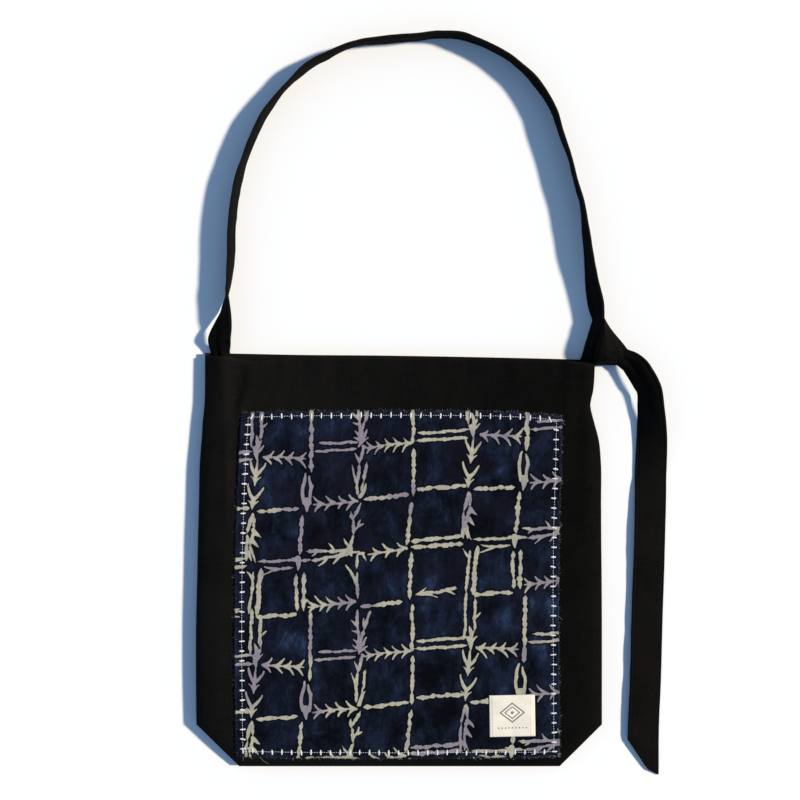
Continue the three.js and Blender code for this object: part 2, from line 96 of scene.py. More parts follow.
# Tables with the named columns of the bag's own drawing: shares of the sizes above
sides = {
    "up": [0.0, 0.16, 0.35, 0.45, 0.55, 0.64, 0.74, 0.79, 0.84, 0.88, 0.93, 1.0],
    "left": [0.994, 0.999, 0.999, 0.994, 0.99, 0.985, 0.98, 0.972, 0.965, 0.957, 0.955, 0.955],
    "right": [0.999, 0.999, 0.999, 0.998, 0.996, 0.995, 0.994, 0.985, 0.96, 0.942, 0.957, 0.965],
}
crowns = {
    "up": [0.0, 0.12, 0.3, 0.6, 0.82, 0.92, 1.0],
    "crown": [0.8, 0.95, 1.0, 1.0, 0.88, 0.74, 0.6],
    "round": [1.0, 1.0, 1.0, 1.0, 0.9, 0.7, 0.5],
}
mouths = {
    "across": [-1.0, -0.84, -0.73, -0.54, -0.08, 0.5, 0.82, 0.93, 1.0],
    "front": [0.008, 0.01, 0.019, 0.0105, 0.0095, 0.0135, 0.0185, 0.026, 0.032],
    "back": [0.0, 0.001, 0.002, 0.004, 0.006, 0.011, 0.0148, 0.0165, 0.017],
}
swells = [
    # across, up, wide, long and lift, as shares
    (-0.87, 1.02, 0.075, 0.13, 0.26),
    (-0.76, 0.96, 0.06, 0.06, -0.08),
    (0.885, 1.02, 0.07, 0.1, 0.24),
    (-0.3, 0.97, 0.1, 0.05, 0.04),
    (0.1, 0.96, 0.1, 0.05, 0.05),
    (0.5, 0.97, 0.12, 0.05, 0.04),
    (-0.5, 0.5, 0.3, 0.2, 0.03),
    (0.35, 0.33, 0.3, 0.2, 0.03),
]


# Light, floor and camera

def add_camera():
    """The camera looks straight down, and its lens puts a millimetre of floor on each pixel."""
    sensor = 36.0
    height = 1.75
    floor_seen = 0.8
    data = bpy.data.cameras.new("camera")
    data.sensor_width = sensor
    data.lens = sensor * height / floor_seen
    data.clip_start = 0.05
    data.clip_end = 20.0
    camera = bpy.data.objects.new("camera", data)
    camera.location = (0.001, 0.1586, height)
    bpy.context.scene.collection.objects.link(camera)
    bpy.context.scene.camera = camera
    bpy.context.scene.view_settings.view_transform = "Standard"


def add_far_light(name, azimuth, elevation, spread, strength, colour):
    """An even lamp far away, from an azimuth off +X and an elevation, softened by its spread in degrees."""
    turn, rise = math.radians(azimuth), math.radians(elevation)
    data = bpy.data.lights.new(name, "SUN")
    data.angle = math.radians(spread)
    data.energy = strength
    data.color = colour
    lamp = bpy.data.objects.new(name, data)
    lamp.location = (2.0, 0.0, 2.0)
    lamp.rotation_euler = (math.pi / 2 - rise, 0, turn + math.pi / 2)
    bpy.context.scene.collection.objects.link(lamp)


def add_studio():
    """A soft warm key from the right, a cool sky that fills its shadows, and a pale floor."""
    add_far_light("key", 7, 45, 5.0, 3.95, (1.0, 0.9, 0.74))
    world = bpy.data.worlds.new("studio")
    world.use_nodes = True
    sky = world.node_tree.nodes["Background"]
    sky.inputs["Color"].default_value = (0.36, 0.6, 1.0, 1.0)
    sky.inputs["Strength"].default_value = 0.44
    bpy.context.scene.world = world
    reach = 12.0
    depth = -0.0004
    corners = [(-reach, -reach, depth), (reach, -reach, depth), (reach, reach, depth), (-reach, reach, depth)]
    mesh = bpy.data.meshes.new("floor")
    mesh.from_pydata(corners, [], [(0, 1, 2, 3)])
    floor = bpy.data.objects.new("floor", mesh)
    bpy.context.scene.collection.objects.link(floor)
    paint = bpy.data.materials.new("pale_floor")
    paint.use_nodes = True
    shader = paint.node_tree.nodes["Principled BSDF"]
    shader.inputs["Base Color"].default_value = (0.96, 0.96, 0.96, 1.0)
    shader.inputs["Roughness"].default_value = 0.9
    mesh.materials.append(paint)


# Curves, noise and height fields

def between(table, key, place, column):
    """Smooth curve through a table: cubic pieces whose slopes are the mean slopes of the neighbours."""
    keys = np.asarray(table[key], float)
    values = np.asarray(table[column], float)
    slopes = np.gradient(values, keys)
    place = np.asarray(place, float)
    i = np.clip(np.searchsorted(keys, place, side="right") - 1, 0, len(keys) - 2)
    step = keys[i + 1] - keys[i]
    t = np.clip((place - keys[i]) / step, 0, 1)
    start = (1 + 2 * t) * (1 - t) ** 2 * values[i] + t * (1 - t) ** 2 * step * slopes[i]
    end = t * t * (3 - 2 * t) * values[i + 1] + t * t * (t - 1) * step * slopes[i + 1]
    return start + end


def smoothstep(low, high, value):
    """0 below low, 1 above high and an even S between them."""
    t = np.clip((value - low) / (high - low), 0, 1)
    return t * t * (3 - 2 * t)


def round_over(distance, reach):
    """A quarter of an ellipse: 0 at the edge and 1 once the reach is passed."""
    left = 1 - np.clip(distance / reach, 0, 1)
    return np.sqrt(1 - left * left)


def soft_noise(x, y, size_x, size_y, seed):
    """Smooth noise from -1 to 1: chosen values on a lattice of the given cell, blended by S curves."""
    lattice = np.random.default_rng(seed).uniform(-1, 1, (64, 64))
    u, v = x / size_x + 17.3, y / size_y + 29.7
    i, j = np.floor(u).astype(int), np.floor(v).astype(int)
    s, t = smoothstep(0, 1, u - i), smoothstep(0, 1, v - j)
    low = lattice[i % 64, j % 64] * (1 - s) + lattice[(i + 1) % 64, j % 64] * s
    high = lattice[i % 64, (j + 1) % 64] * (1 - s) + lattice[(i + 1) % 64, (j + 1) % 64] * s
    return low * (1 - t) + high * t


def side_edge(y, side):
    """How far the bag reaches to a side: the side table less the slanting cut of the boxed corner."""
    up = (y - bottom_y) / bag_height
    inset = np.maximum(corner_cut - (y - bottom_y), 0)
    return between(sides, "up", up, side) * half_width - inset


def swell_at(x, y):
    """Sum of the soft swells of the front, each a bell over its breadth and length."""
    up = (y - bottom_y) / bag_height
    total = np.zeros_like(x)
    for across, level, wide, long, lift in swells:
        bell = ((x / half_width - across) / wide) ** 2 + ((up - level) / long) ** 2
        total += lift * crown_height * np.exp(-bell)
    return total


# Folds of the front, in millimetres: place across at the top, lean to the foot, top and foot
# of the fold, lift and breadth
front_folds = [
    (-172, 3, 206, 40, 1.8, 5),
    (-163, 2, 206, 80, -1.5, 5),
    (-187, -3, 206, 100, -1.1, 5),
    (-156, -17, 178, 128, -1.2, 3.4),
    (-146, -20, 180, 124, 0.8, 5),
    (178, -3, 196, 105, -1.6, 6),
    (189, -1, 180, 40, 1.2, 5),
    (168, 0, 206, 150, 0.9, 6),
    (-182, -8, 40, -150, -0.8, 7),
    (184, 5, 20, -150, -0.7, 7),
    (-150, 22, -188, -206, 0.7, 6),
    (140, -14, -188, -206, 0.6, 6),
]


def fold_at(x, y):
    """Sum of the front's folds and ripples: bells across leaning lines that fade at both ends."""
    total = np.zeros_like(x)
    fade = 0.03
    for across, lean, top, foot, lift, wide in front_folds:
        run = np.clip((top * mm - y) / ((top - foot) * mm), 0, 1)
        line = (across + lean * run) * mm
        window = smoothstep(foot * mm - fade, foot * mm + fade, y) * smoothstep(top * mm + fade, top * mm, y)
        total += 1.3 * lift * mm * np.exp(-(((x - line) / (wide * mm)) ** 2)) * window
    ripples = np.random.default_rng(11)
    first, count, spacing = -0.145, 19, 0.0165
    for i in range(count):
        place = first + i * spacing + ripples.uniform(-0.004, 0.004)
        line = place + ripples.uniform(-0.06, 0.06) * (mouth_y - y)
        lift = ripples.uniform(0.35, 1.0) * mm * (-1) ** i
        foot = mouth_y - ripples.uniform(0.035, 0.065)
        window = smoothstep(foot, foot + 0.03, y)
        total += lift * np.exp(-(((x - line) / ripples.uniform(0.004, 0.0065)) ** 2)) * window
    total += 0.7 * mm * soft_noise(x, y, 0.05, 0.07, 3)
    total += 0.4 * mm * soft_noise(x, y, 0.017, 0.024, 4)
    total += 0.08 * mm * soft_noise(x, y, 0.006, 0.006, 5)
    return total


def front_height(x, y, inside=0.0):
    """Height of the front: from the seam up to the crown by two rounded edges, with its folds."""
    up = (y - bottom_y) / bag_height
    reach = between(crowns, "up", up, "round") * front_round - inside
    side = np.minimum(x + side_edge(y, "left"), side_edge(y, "right") - x) - inside
    foot = y - bottom_y - inside
    crown = between(crowns, "up", up, "crown") * crown_height + swell_at(x, y)
    rounded = round_over(side, reach) * round_over(foot, front_round - inside)
    calm = smoothstep(0, 0.012, np.minimum(side, foot))
    rise = crown - inside - seam_height
    return seam_height + gap / 2 + rise * rounded + fold_at(x, y) * calm


def back_height(x, y, inside=0.0):
    """Height of the back: flat on the ground, with edges that round up to the seam."""
    side = np.minimum(x + side_edge(y, "left"), side_edge(y, "right") - x) - inside
    foot = y - bottom_y - inside
    reach = back_round - inside
    drop = seam_height - gap / 2 - inside
    return inside + drop * (1 - round_over(side, reach) * round_over(foot, reach))


# Meshes

def quads_of_grid(rows, columns):
    """Quads between neighbouring points of a grid, turned the way of rows up and columns right."""
    first = np.arange(rows - 1)[:, None] * columns + np.arange(columns - 1)[None, :]
    return np.stack([first, first + 1, first + columns + 1, first + columns], -1).reshape(-1, 4)


def rim_of_grid(rows, columns, step=1):
    """The grid's border points in order, right along the foot, up, left along the head and down."""
    foot = np.arange(0, columns - 1, step)
    right = np.arange(0, rows - 1, step) * columns + columns - 1
    head = (rows - 1) * columns + np.arange(columns - 1, 0, -step)
    left = np.arange(rows - 1, 0, -step) * columns
    return np.concatenate([foot, right, head, left])


def make_piece(name, points, face_sets, material, node=None, attributes=None):
    """A mesh object from points and arrays of faces, turned outwards, that rides on the bag."""
    points = np.asarray(points, float).reshape(-1, 3)
    loops = np.concatenate([faces.ravel() for faces in face_sets])
    sizes = np.concatenate([np.full(len(faces), faces.shape[1]) for faces in face_sets])
    starts = np.concatenate([[0], np.cumsum(sizes)[:-1]])
    volume = 0.0
    for faces in face_sets:
        a = points[faces[:, 0]]
        for k in range(1, faces.shape[1] - 1):
            volume += np.einsum("ij,ij->i", a, np.cross(points[faces[:, k]], points[faces[:, k + 1]])).sum()
    if volume < 0:
        loops = np.concatenate([faces[:, ::-1].ravel() for faces in face_sets])
    mesh = bpy.data.meshes.new(name)
    mesh.vertices.add(len(points))
    mesh.vertices.foreach_set("co", points.astype(np.float32).ravel())
    mesh.loops.add(len(loops))
    mesh.loops.foreach_set("vertex_index", loops.astype(np.int32))
    mesh.polygons.add(len(sizes))
    mesh.polygons.foreach_set("loop_start", starts.astype(np.int32))
    mesh.polygons.foreach_set("use_smooth", np.ones(len(sizes), bool))
    mesh.update(calc_edges=True)
    mesh.validate()
    for key, values in (attributes or {}).items():
        values = np.asarray(values, np.float32)
        vector = values.size == 3 * len(points)
        layer = mesh.attributes.new(key, "FLOAT_VECTOR" if vector else "FLOAT", "POINT")
        layer.data.foreach_set("vector" if vector else "value", values.ravel())
    mesh.materials.append(material)
    piece = bpy.data.objects.new(name, mesh)
    bpy.context.scene.collection.objects.link(piece)
    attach(piece, body)
    if node:
        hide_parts(*node)
    return piece


def closed_grid(upper, lower):
    """Points and faces of a closed sheet between two grids with the same rows and columns."""
    rows, columns = upper.shape[:2]
    count = rows * columns
    quads = quads_of_grid(rows, columns)
    rim = rim_of_grid(rows, columns)
    after = np.roll(rim, -1)
    walls = np.stack([rim + count, after + count, after, rim], -1)
    points = np.concatenate([upper.reshape(-1, 3), lower.reshape(-1, 3)])
    return points, [quads, quads[:, ::-1] + count, walls]


def closed_tubes(rings):
    """Points and faces of closed tubes: rings of points in rows, for one tube or for many."""
    many, rows, sides_round = rings.shape[:3]
    i = np.arange(rows - 1)[:, None] * sides_round
    j = np.arange(sides_round)[None, :]
    ahead = (j + 1) % sides_round
    quads = np.stack([i + j, i + ahead, i + sides_round + ahead, i + sides_round + j], -1).reshape(-1, 4)
    caps = np.stack([np.arange(sides_round)[::-1], (rows - 1) * sides_round + np.arange(sides_round)])
    shift = np.arange(many)[:, None, None] * rows * sides_round
    faces = [(quads[None] + shift).reshape(-1, 4), (caps[None] + shift).reshape(-1, sides_round)]
    return rings.reshape(-1, 3), faces


def thread_rings(paths, half_breadths, half_heights, sides_round):
    """Rings of threads that lie flat: an ellipse round each path point, square to the path."""
    along = np.gradient(paths, axis=1)
    along /= np.linalg.norm(along, axis=2, keepdims=True) + 1e-12
    level = np.cross(along, [0.0, 0.0, 1.0])
    level /= np.linalg.norm(level, axis=2, keepdims=True) + 1e-9
    rising = np.cross(level, along)
    turn = np.arange(sides_round) * 2 * math.pi / sides_round
    breadth = half_breadths[..., None, None] * np.cos(turn)[:, None]
    height = half_heights[..., None, None] * np.sin(turn)[:, None]
    return paths[:, :, None] + breadth * level[:, :, None] + height * rising[:, :, None]


# Shader nodes

def srgb(red, green, blue):
    """A colour from its 0 to 255 screen values, as the linear light that shaders use."""
    values = np.array([red, green, blue]) / 255
    linear = np.where(values <= 0.04045, values / 12.92, ((values + 0.055) / 1.055) ** 2.4)
    return (*linear.tolist(), 1.0)


class Tree:
    """A short way to add nodes to a shader tree and join them."""

    def __init__(self, tree):
        self.tree = tree

    def feed(self, socket, value):
        if isinstance(value, bpy.types.NodeSocket):
            self.tree.links.new(value, socket)
        else:
            socket.default_value = value

    def add(self, kind, inputs=None, out=0, **settings):
        node = self.tree.nodes.new(kind)
        for key, value in settings.items():
            setattr(node, key, value)
        for key, value in (inputs or {}).items():
            self.feed(node.inputs[key], value)
        return node.outputs[out]

    def math(self, operation, first, second=0.0):
        return self.add("ShaderNodeMath", {0: first, 1: second}, operation=operation)

    def mix(self, factor, first, second, blend="MIX"):
        inputs = {0: factor, 6: first, 7: second}
        return self.add("ShaderNodeMix", inputs, out=2, data_type="RGBA", blend_type=blend)

    def ramp(self, value, low, high, start=0.0, end=1.0):
        inputs = {"Value": value, "From Min": low, "From Max": high, "To Min": start, "To Max": end}
        return self.add("ShaderNodeMapRange", inputs, interpolation_type="SMOOTHSTEP")

    def noise(self, place, scale, detail=2.0, roughness=0.5):
        inputs = {"Vector": place, "Scale": scale, "Detail": detail, "Roughness": roughness}
        return self.add("ShaderNodeTexNoise", inputs)

    def stretched(self, place, scale):
        return self.add("ShaderNodeMapping", {"Vector": place, "Scale": scale})

    def parts(self, place):
        node = self.tree.nodes.new("ShaderNodeSeparateXYZ")
        self.feed(node.inputs[0], place)
        return node.outputs

    def attribute(self, name, out):
        return self.add("ShaderNodeAttribute", out=out, attribute_name=name)

    def group(self, group, inputs):
        node = self.tree.nodes.new("ShaderNodeGroup")
        node.node_tree = group
        for key, value in inputs.items():
            self.feed(node.inputs[key], value)
        return node.outputs


def new_group(name, inputs, outputs):
    """An empty node group with named inputs, as (name, kind, value), and named outputs."""
    group = bpy.data.node_groups.new(name, "ShaderNodeTree")
    for label, kind, value in inputs:
        socket = group.interface.new_socket(name=label, in_out="INPUT", socket_type="NodeSocket" + kind)
        if value is not None:
            socket.default_value = value
    for label, kind in outputs:
        group.interface.new_socket(name=label, in_out="OUTPUT", socket_type="NodeSocket" + kind)
    tree = Tree(group)
    entry = group.nodes.new("NodeGroupInput")
    leaving = group.nodes.new("NodeGroupOutput")
    return group, tree, entry.outputs, leaving.inputs


def weave_group():
    """Plain weave: the product of two sines gives the crossings, and noise makes thick threads."""
    group, tree, given, made = new_group(
        "plain_weave",
        [("Lay", "Vector", None), ("Thread", "Float", 0.0006), ("Uneven", "Float", 0.5)],
        [("Height", "Float"), ("Slub", "Float")],
    )
    wander = tree.add("ShaderNodeTexNoise", {"Vector": given["Lay"], "Scale": 160.0, "Detail": 1.0}, out=1)
    shift = tree.add("ShaderNodeVectorMath", {0: wander, 1: (0.0005, 0.0005, 0.0)}, operation="MULTIPLY")
    place = tree.add("ShaderNodeVectorMath", {0: given["Lay"], 1: shift}, operation="ADD")
    parts = tree.parts(place)
    turn = tree.math("DIVIDE", math.pi, given["Thread"])
    waves = [tree.math("SINE", tree.math("MULTIPLY", parts[k], turn)) for k in range(2)]
    crossing = tree.math("MULTIPLY", waves[0], waves[1])
    long_x = tree.noise(tree.stretched(given["Lay"], (60.0, 900.0, 1.0)), 1.0, 1.0)
    long_y = tree.noise(tree.stretched(given["Lay"], (900.0, 60.0, 1.0)), 1.0, 1.0)
    slub = tree.math("ADD", long_x, long_y)
    uneven = tree.math("MULTIPLY", tree.math("SUBTRACT", slub, 1.0), given["Uneven"])
    height = tree.math("ADD", tree.math("MULTIPLY", crossing, 0.5), uneven)
    tree.feed(made["Height"], height)
    tree.feed(made["Slub"], slub)
    return group


def stitch_group():
    """A row of machine stitches along a seam line: long dashes in a shallow groove."""
    group, tree, given, made = new_group(
        "seam_row",
        [
            ("Off", "Float", 1.0), ("Run", "Float", 0.0),
            ("Pitch", "Float", 0.003), ("Thread", "Float", 0.0005),
        ],
        [("Stitch", "Float"), ("Groove", "Float")],
    )
    off = tree.math("ABSOLUTE", given["Off"])
    share = tree.math("FRACT", tree.math("DIVIDE", given["Run"], given["Pitch"]))
    middle = tree.math("ABSOLUTE", tree.math("SUBTRACT", share, 0.5))
    dash = tree.ramp(middle, 0.42, 0.34)
    line = tree.ramp(off, given["Thread"], tree.math("MULTIPLY", given["Thread"], 0.4))
    tree.feed(made["Stitch"], tree.math("MULTIPLY", dash, line))
    wide = tree.math("MULTIPLY", given["Thread"], 3.0)
    groove = tree.ramp(off, wide, 0.0)
    pinched = tree.math("MULTIPLY", groove, tree.ramp(middle, 0.2, 0.5, 0.6, 1.0))
    tree.feed(made["Groove"], pinched)
    return group


def new_material(name, roughness, specular):
    """A cloth material: its Principled shader and the tree round it."""
    material = bpy.data.materials.new(name)
    material.use_nodes = True
    shader = material.node_tree.nodes["Principled BSDF"]
    shader.inputs["Roughness"].default_value = roughness
    shader.inputs["Specular IOR Level"].default_value = specular
    return material, Tree(material.node_tree), shader


def canvas_material(groups):
    """Black canvas: dull weave, lint, faint clouds, paler worn edges, a painted highlight on the knot's fold
    ridges, painted shade that darkens it towards the right, and black seam stitches.
    """
    material, tree, shader = new_material("black_canvas", 0.92, 0.02)
    lay = tree.attribute("lay", 1)
    wear_and_highlight = tree.attribute("wear_and_highlight", 2)
    weave = tree.group(groups["weave"], {"Lay": lay, "Thread": 0.00062, "Uneven": 0.5})
    seam = tree.group(groups["seam"], {"Off": tree.attribute("seam", 2), "Run": tree.attribute("run", 2)})
    clouds = tree.noise(lay, 24.0, 3.0)
    dull = tree.mix(tree.ramp(clouds, 0.3, 0.7), srgb(14, 13.5, 12.5), srgb(20, 19.2, 18))
    threads = tree.mix(tree.ramp(weave["Slub"], 0.7, 1.4), dull, srgb(22, 21, 19.5))
    # Painted shade: the colour is multiplied from 1.06 at the left down to 0.62 at the right, so the walls
    # darken towards the right and the strap, tail and knot are darkened too
    painted_shade_rightward = tree.ramp(tree.parts(lay)[0], -0.15, 0.15, 1.06, 0.62)
    threads = tree.mix(1.0, threads, painted_shade_rightward, "MULTIPLY")
    lint = tree.noise(tree.stretched(lay, (700.0, 700.0, 1.0)), 1.0, 0.0)
    dusty = tree.mix(tree.ramp(lint, 0.78, 0.86, 0.0, 0.35), threads, srgb(60, 58, 56))
    # Paler where the canvas is worn at the mouth and along the edges, and a painted highlight on the knot's
    # fold ridges
    paled = tree.mix(tree.math("MULTIPLY", wear_and_highlight, 0.28), dusty, srgb(40, 38, 35))
    sewn = tree.mix(tree.math("MULTIPLY", seam["Stitch"], 0.5), paled, srgb(24, 23, 22))
    tree.feed(shader.inputs["Base Color"], sewn)
    relief = tree.math("MULTIPLY", weave["Height"], 0.35)
    relief = tree.math("SUBTRACT", relief, tree.math("MULTIPLY", seam["Groove"], 1.6))
    relief = tree.math("ADD", relief, tree.math("MULTIPLY", seam["Stitch"], 1.4))
    bump = tree.add("ShaderNodeBump", {"Strength": 0.7, "Distance": 0.0002, "Height": relief})
    tree.feed(shader.inputs["Normal"], bump)
    return material


def print_material(groups):
    """Navy wax-print cotton: dye clouds, resist strokes from cream to lilac, each with a dark rim."""
    material, tree, shader = new_material("wax_print_cotton", 0.9, 0.02)
    lay = tree.attribute("lay", 1)
    wax = tree.attribute("wax", 2)
    weave = tree.group(groups["weave"], {"Lay": lay, "Thread": 0.00036, "Uneven": 0.5})
    drift = tree.add("ShaderNodeTexNoise", {"Vector": lay, "Scale": 30.0, "Detail": 2.0}, out=1)
    bent = tree.add("ShaderNodeVectorMath", {0: drift, 1: (0.02, 0.02, 0.0)}, operation="MULTIPLY")
    bent = tree.add("ShaderNodeVectorMath", {0: lay, 1: bent}, operation="ADD")
    streaks = tree.noise(tree.stretched(bent, (75.0, 32.0, 1.0)), 1.0, 4.0, 0.6)
    clouds = tree.noise(bent, 34.0, 4.0, 0.6)
    fine = tree.noise(tree.stretched(bent, (320.0, 160.0, 1.0)), 1.0, 3.0, 0.6)
    depth = tree.math("ADD", tree.math("MULTIPLY", streaks, 0.42), tree.math("MULTIPLY", clouds, 0.38))
    depth = tree.math("ADD", depth, tree.math("MULTIPLY", fine, 0.2))
    depth = tree.math("ADD", depth, tree.math("MULTIPLY", tree.attribute("dye", 2), 0.11))
    navy = tree.mix(tree.ramp(depth, 0.4, 0.5), srgb(8, 10, 16), srgb(16, 21, 32))
    navy = tree.mix(tree.ramp(depth, 0.49, 0.565), navy, srgb(25, 32, 49))
    navy = tree.mix(tree.ramp(depth, 0.565, 0.67), navy, srgb(41, 58, 84))
    violet = tree.noise(tree.stretched(lay, (22.0, 30.0, 1.0)), 1.0, 3.0)
    higher = tree.ramp(tree.parts(lay)[1], -0.15, 0.04, 0.1, 0.55)
    violet = tree.math("MULTIPLY", tree.ramp(violet, 0.42, 0.62), higher)
    navy = tree.mix(violet, navy, srgb(22, 20, 31))
    rim = tree.ramp(wax, 0.002, 0.0006, 0.0, 0.75)
    navy = tree.mix(rim, navy, srgb(6, 7, 12))
    patchy = tree.noise(lay, 38.0, 2.0)
    shade = tree.math("ADD", tree.attribute("lilac", 2), tree.math("MULTIPLY", patchy, 1.3))
    stroke = tree.mix(tree.ramp(shade, 0.7, 1.35), srgb(176, 172, 152), srgb(140, 132, 140))
    stroke = tree.mix(tree.ramp(fine, 0.46, 0.78, 0.0, 0.5), stroke, srgb(112, 108, 112))
    edge = tree.math("ADD", wax, tree.math("MULTIPLY", tree.math("SUBTRACT", fine, 0.5), 0.0009))
    colour = tree.mix(tree.ramp(edge, 0.0003, -0.0003), navy, stroke)
    colour = tree.mix(tree.math("MULTIPLY", tree.attribute("fray", 2), 0.4), colour, srgb(40, 45, 60))
    threads = tree.ramp(weave["Slub"], 0.7, 1.3, 0.88, 1.12)
    colour = tree.mix(1.0, colour, threads, "MULTIPLY")
    tree.feed(shader.inputs["Base Color"], colour)
    bump = tree.add("ShaderNodeBump", {"Strength": 0.6, "Distance": 0.00012, "Height": weave["Height"]})
    tree.feed(shader.inputs["Normal"], bump)
    return material


def thread_material(name, pale, dark):
    """Cotton thread: a fine fuzz in its colour and bump, with its tone from an attribute."""
    material, tree, shader = new_material(name, 0.82, 0.25)
    tone = tree.attribute("tone", 2)
    place = tree.add("ShaderNodeTexCoord", out=3)
    fuzz = tree.noise(place, 900.0, 2.0)
    colour = tree.mix(tone, pale, dark)
    colour = tree.mix(tree.ramp(fuzz, 0.3, 0.8, 0.0, 0.3), colour, srgb(150, 146, 140))
    tree.feed(shader.inputs["Base Color"], colour)
    bump = tree.add("ShaderNodeBump", {"Strength": 0.5, "Distance": 0.0001, "Height": fuzz})
    tree.feed(shader.inputs["Normal"], bump)
    return material


def label_material(groups):
    """Cream cotton label with a plain printed lozenge in dark grey."""
    material, tree, shader = new_material("cream_cotton", 0.86, 0.22)
    lay = tree.attribute("lay", 1)
    ink = tree.attribute("ink", 2)
    weave = tree.group(groups["weave"], {"Lay": lay, "Thread": 0.0003, "Uneven": 0.6})
    clouds = tree.noise(lay, 60.0, 3.0)
    cream = tree.mix(tree.ramp(clouds, 0.35, 0.7), srgb(247, 240, 224), srgb(238, 229, 210))
    cream = tree.mix(tree.ramp(weave["Slub"], 0.7, 1.35, 0.0, 0.35), cream, srgb(226, 216, 196))
    speck = tree.noise(lay, 2600.0, 1.0)
    edge = tree.math("ADD", ink, tree.math("MULTIPLY", tree.math("SUBTRACT", speck, 0.5), 0.0003))
    colour = tree.mix(tree.ramp(edge, 0.0002, -0.0001, 0.0, 0.85), cream, srgb(62, 58, 60))
    tree.feed(shader.inputs["Base Color"], colour)
    bump = tree.add("ShaderNodeBump", {"Strength": 0.6, "Distance": 0.00012, "Height": weave["Height"]})
    tree.feed(shader.inputs["Normal"], bump)
    return material


# The two canvas walls

def edge_lines(reach, steps):
    """Offsets that gather lines where an edge rounds over: equal steps of angle round a quarter turn."""
    return reach * (1 - np.cos(np.arange(steps + 1) / steps * math.pi / 2))


def wall_grid(height_at, reach, mouth_side, columns, rows, inside):
    """One face of a wall: columns from side to side and rows from the foot to the mouth line."""
    edge = edge_lines(reach, 9)
    flat = np.arange(1, columns) / columns
    share = np.concatenate([np.zeros(10), flat, np.ones(10)])
    offset = np.concatenate([edge, reach * (1 - 2 * flat), -edge[::-1]])
    steps = np.linspace(reach, corner_cut, 7)[1:-1]
    level = np.concatenate([edge, steps, np.linspace(corner_cut, bag_height, rows + 1)])[:, None]
    y = bottom_y + level + inside * (1 - level / bag_height)
    left = inside - side_edge(y, "left")
    right = side_edge(y, "right") - inside
    x = left + share[None] * (right - left) + offset[None] * (1 - inside / reach)
    y = np.broadcast_to(y, x.shape)
    drop = between(mouths, "across", x / half_width, mouth_side) * bag_height
    settled = y - drop * (level / bag_height) ** 6
    return np.stack([x, settled, height_at(x, y, inside)], -1)


def canvas_facts(points, off_seam, run, wear_and_highlight, lay=None):
    """The attributes that the canvas material reads."""
    return {"lay": points if lay is None else lay, "seam": off_seam, "run": run, "wear_and_highlight": wear_and_highlight}


def add_wall(name, node, height_at, reach, mouth_side, columns, rows, outer_up, material):
    """A canvas wall as a closed sheet, with a hem stitched below its mouth edge."""
    outer = wall_grid(height_at, reach, mouth_side, columns, rows, 0.0)
    inner = wall_grid(height_at, reach, mouth_side, columns, rows, canvas)
    points, faces = closed_grid(outer, inner) if outer_up else closed_grid(inner, outer)
    below = np.broadcast_to(outer[-1:, :, 1] - outer[:, :, 1], outer.shape[:2])
    side = np.minimum(outer[:, :, 0] + half_width, half_width - outer[:, :, 0])
    paled = np.exp(-below / 0.0016) + 0.5 * np.exp(-np.maximum(side, 0) / 0.004)
    one_face = (below - hem_depth, outer[:, :, 0], paled)
    both = [np.concatenate([part.ravel(), part.ravel()]) for part in one_face]
    return make_piece(name, points, faces, material, [node], canvas_facts(points, *both))


# The patch

patch_left = -patch_width / 2 - patch_shift
patch_foot = bottom_y + patch_footroom

# Where the patch's cut edges lie, in millimetres: the sides by height, the ends by place across
patch_sides = {
    "up": [0.0, 0.25, 0.5, 0.7, 0.85, 1.0],
    "left": [-161.2, -162.0, -161.9, -160.4, -158.4, -155.6],
    "right": [158.6, 157.6, 157.2, 158.2, 159.8, 161.0],
}
patch_ends = {
    "across": [0.0, 0.12, 0.35, 0.6, 0.8, 0.93, 1.0],
    "foot": [-193.4, -194.6, -195.2, -195.2, -195.0, -194.6, -193.8],
    "head": [145.9, 147.2, 148.2, 148.2, 147.4, 145.2, 142.8],
}


def patch_point(across, up):
    """Where a place of the patch lies: shares between its two side edges and its two end edges."""
    left, right = (between(patch_sides, "up", up, side) * mm for side in ("left", "right"))
    foot, head = (between(patch_ends, "across", across, end) * mm for end in ("foot", "head"))
    return left + across * (right - left), foot + up * (head - foot)


def patch_inset(across, up):
    """How far in from the nearest edge a place of the patch is, and how far along that edge."""
    from_side = np.minimum(across, 1 - across) * patch_width
    from_end = np.minimum(up, 1 - up) * patch_height
    inset = np.minimum(from_side, from_end)
    run = np.where(from_side < from_end, up * patch_height, across * patch_width)
    return inset, run


def stitch_distance(across, up):
    """Distance from a place of the patch to the nearest of the four stitch lines."""
    aside = np.minimum(np.abs(across * patch_width - stitch_insets["left"]),
                       np.abs((1 - across) * patch_width - stitch_insets["right"]))
    above = np.minimum(np.abs(up * patch_height - stitch_insets["foot"]),
                       np.abs((1 - up) * patch_height - stitch_insets["head"]))
    return np.minimum(aside, above)


def patch_top(across, up):
    """Height of the patch: the front, soft wrinkles, a pull at each stitch and a raw edge that lifts."""
    x, y = patch_point(across, up)
    inset, run = patch_inset(np.clip(across, 0, 1), np.clip(up, 0, 1))
    height = front_height(x, y) + patch_lift + patch_cloth
    wrinkles = 0.45 * mm * soft_noise(x, y, 0.03, 0.05, 21) + 0.2 * mm * soft_noise(x, y, 0.011, 0.016, 22)
    height += wrinkles * smoothstep(0.004, 0.02, inset)
    near = np.exp(-((stitch_distance(across, up) / 0.0026) ** 2))
    pull = 0.6 + 0.4 * np.cos(2 * math.pi * run / stitch_pitch)
    height -= 0.45 * mm * near * pull
    lift = 0.5 + 0.5 * soft_noise(x, y, 0.009, 0.009, 23)
    return height + 0.9 * mm * lift * (1 - smoothstep(0, 0.0042, inset))
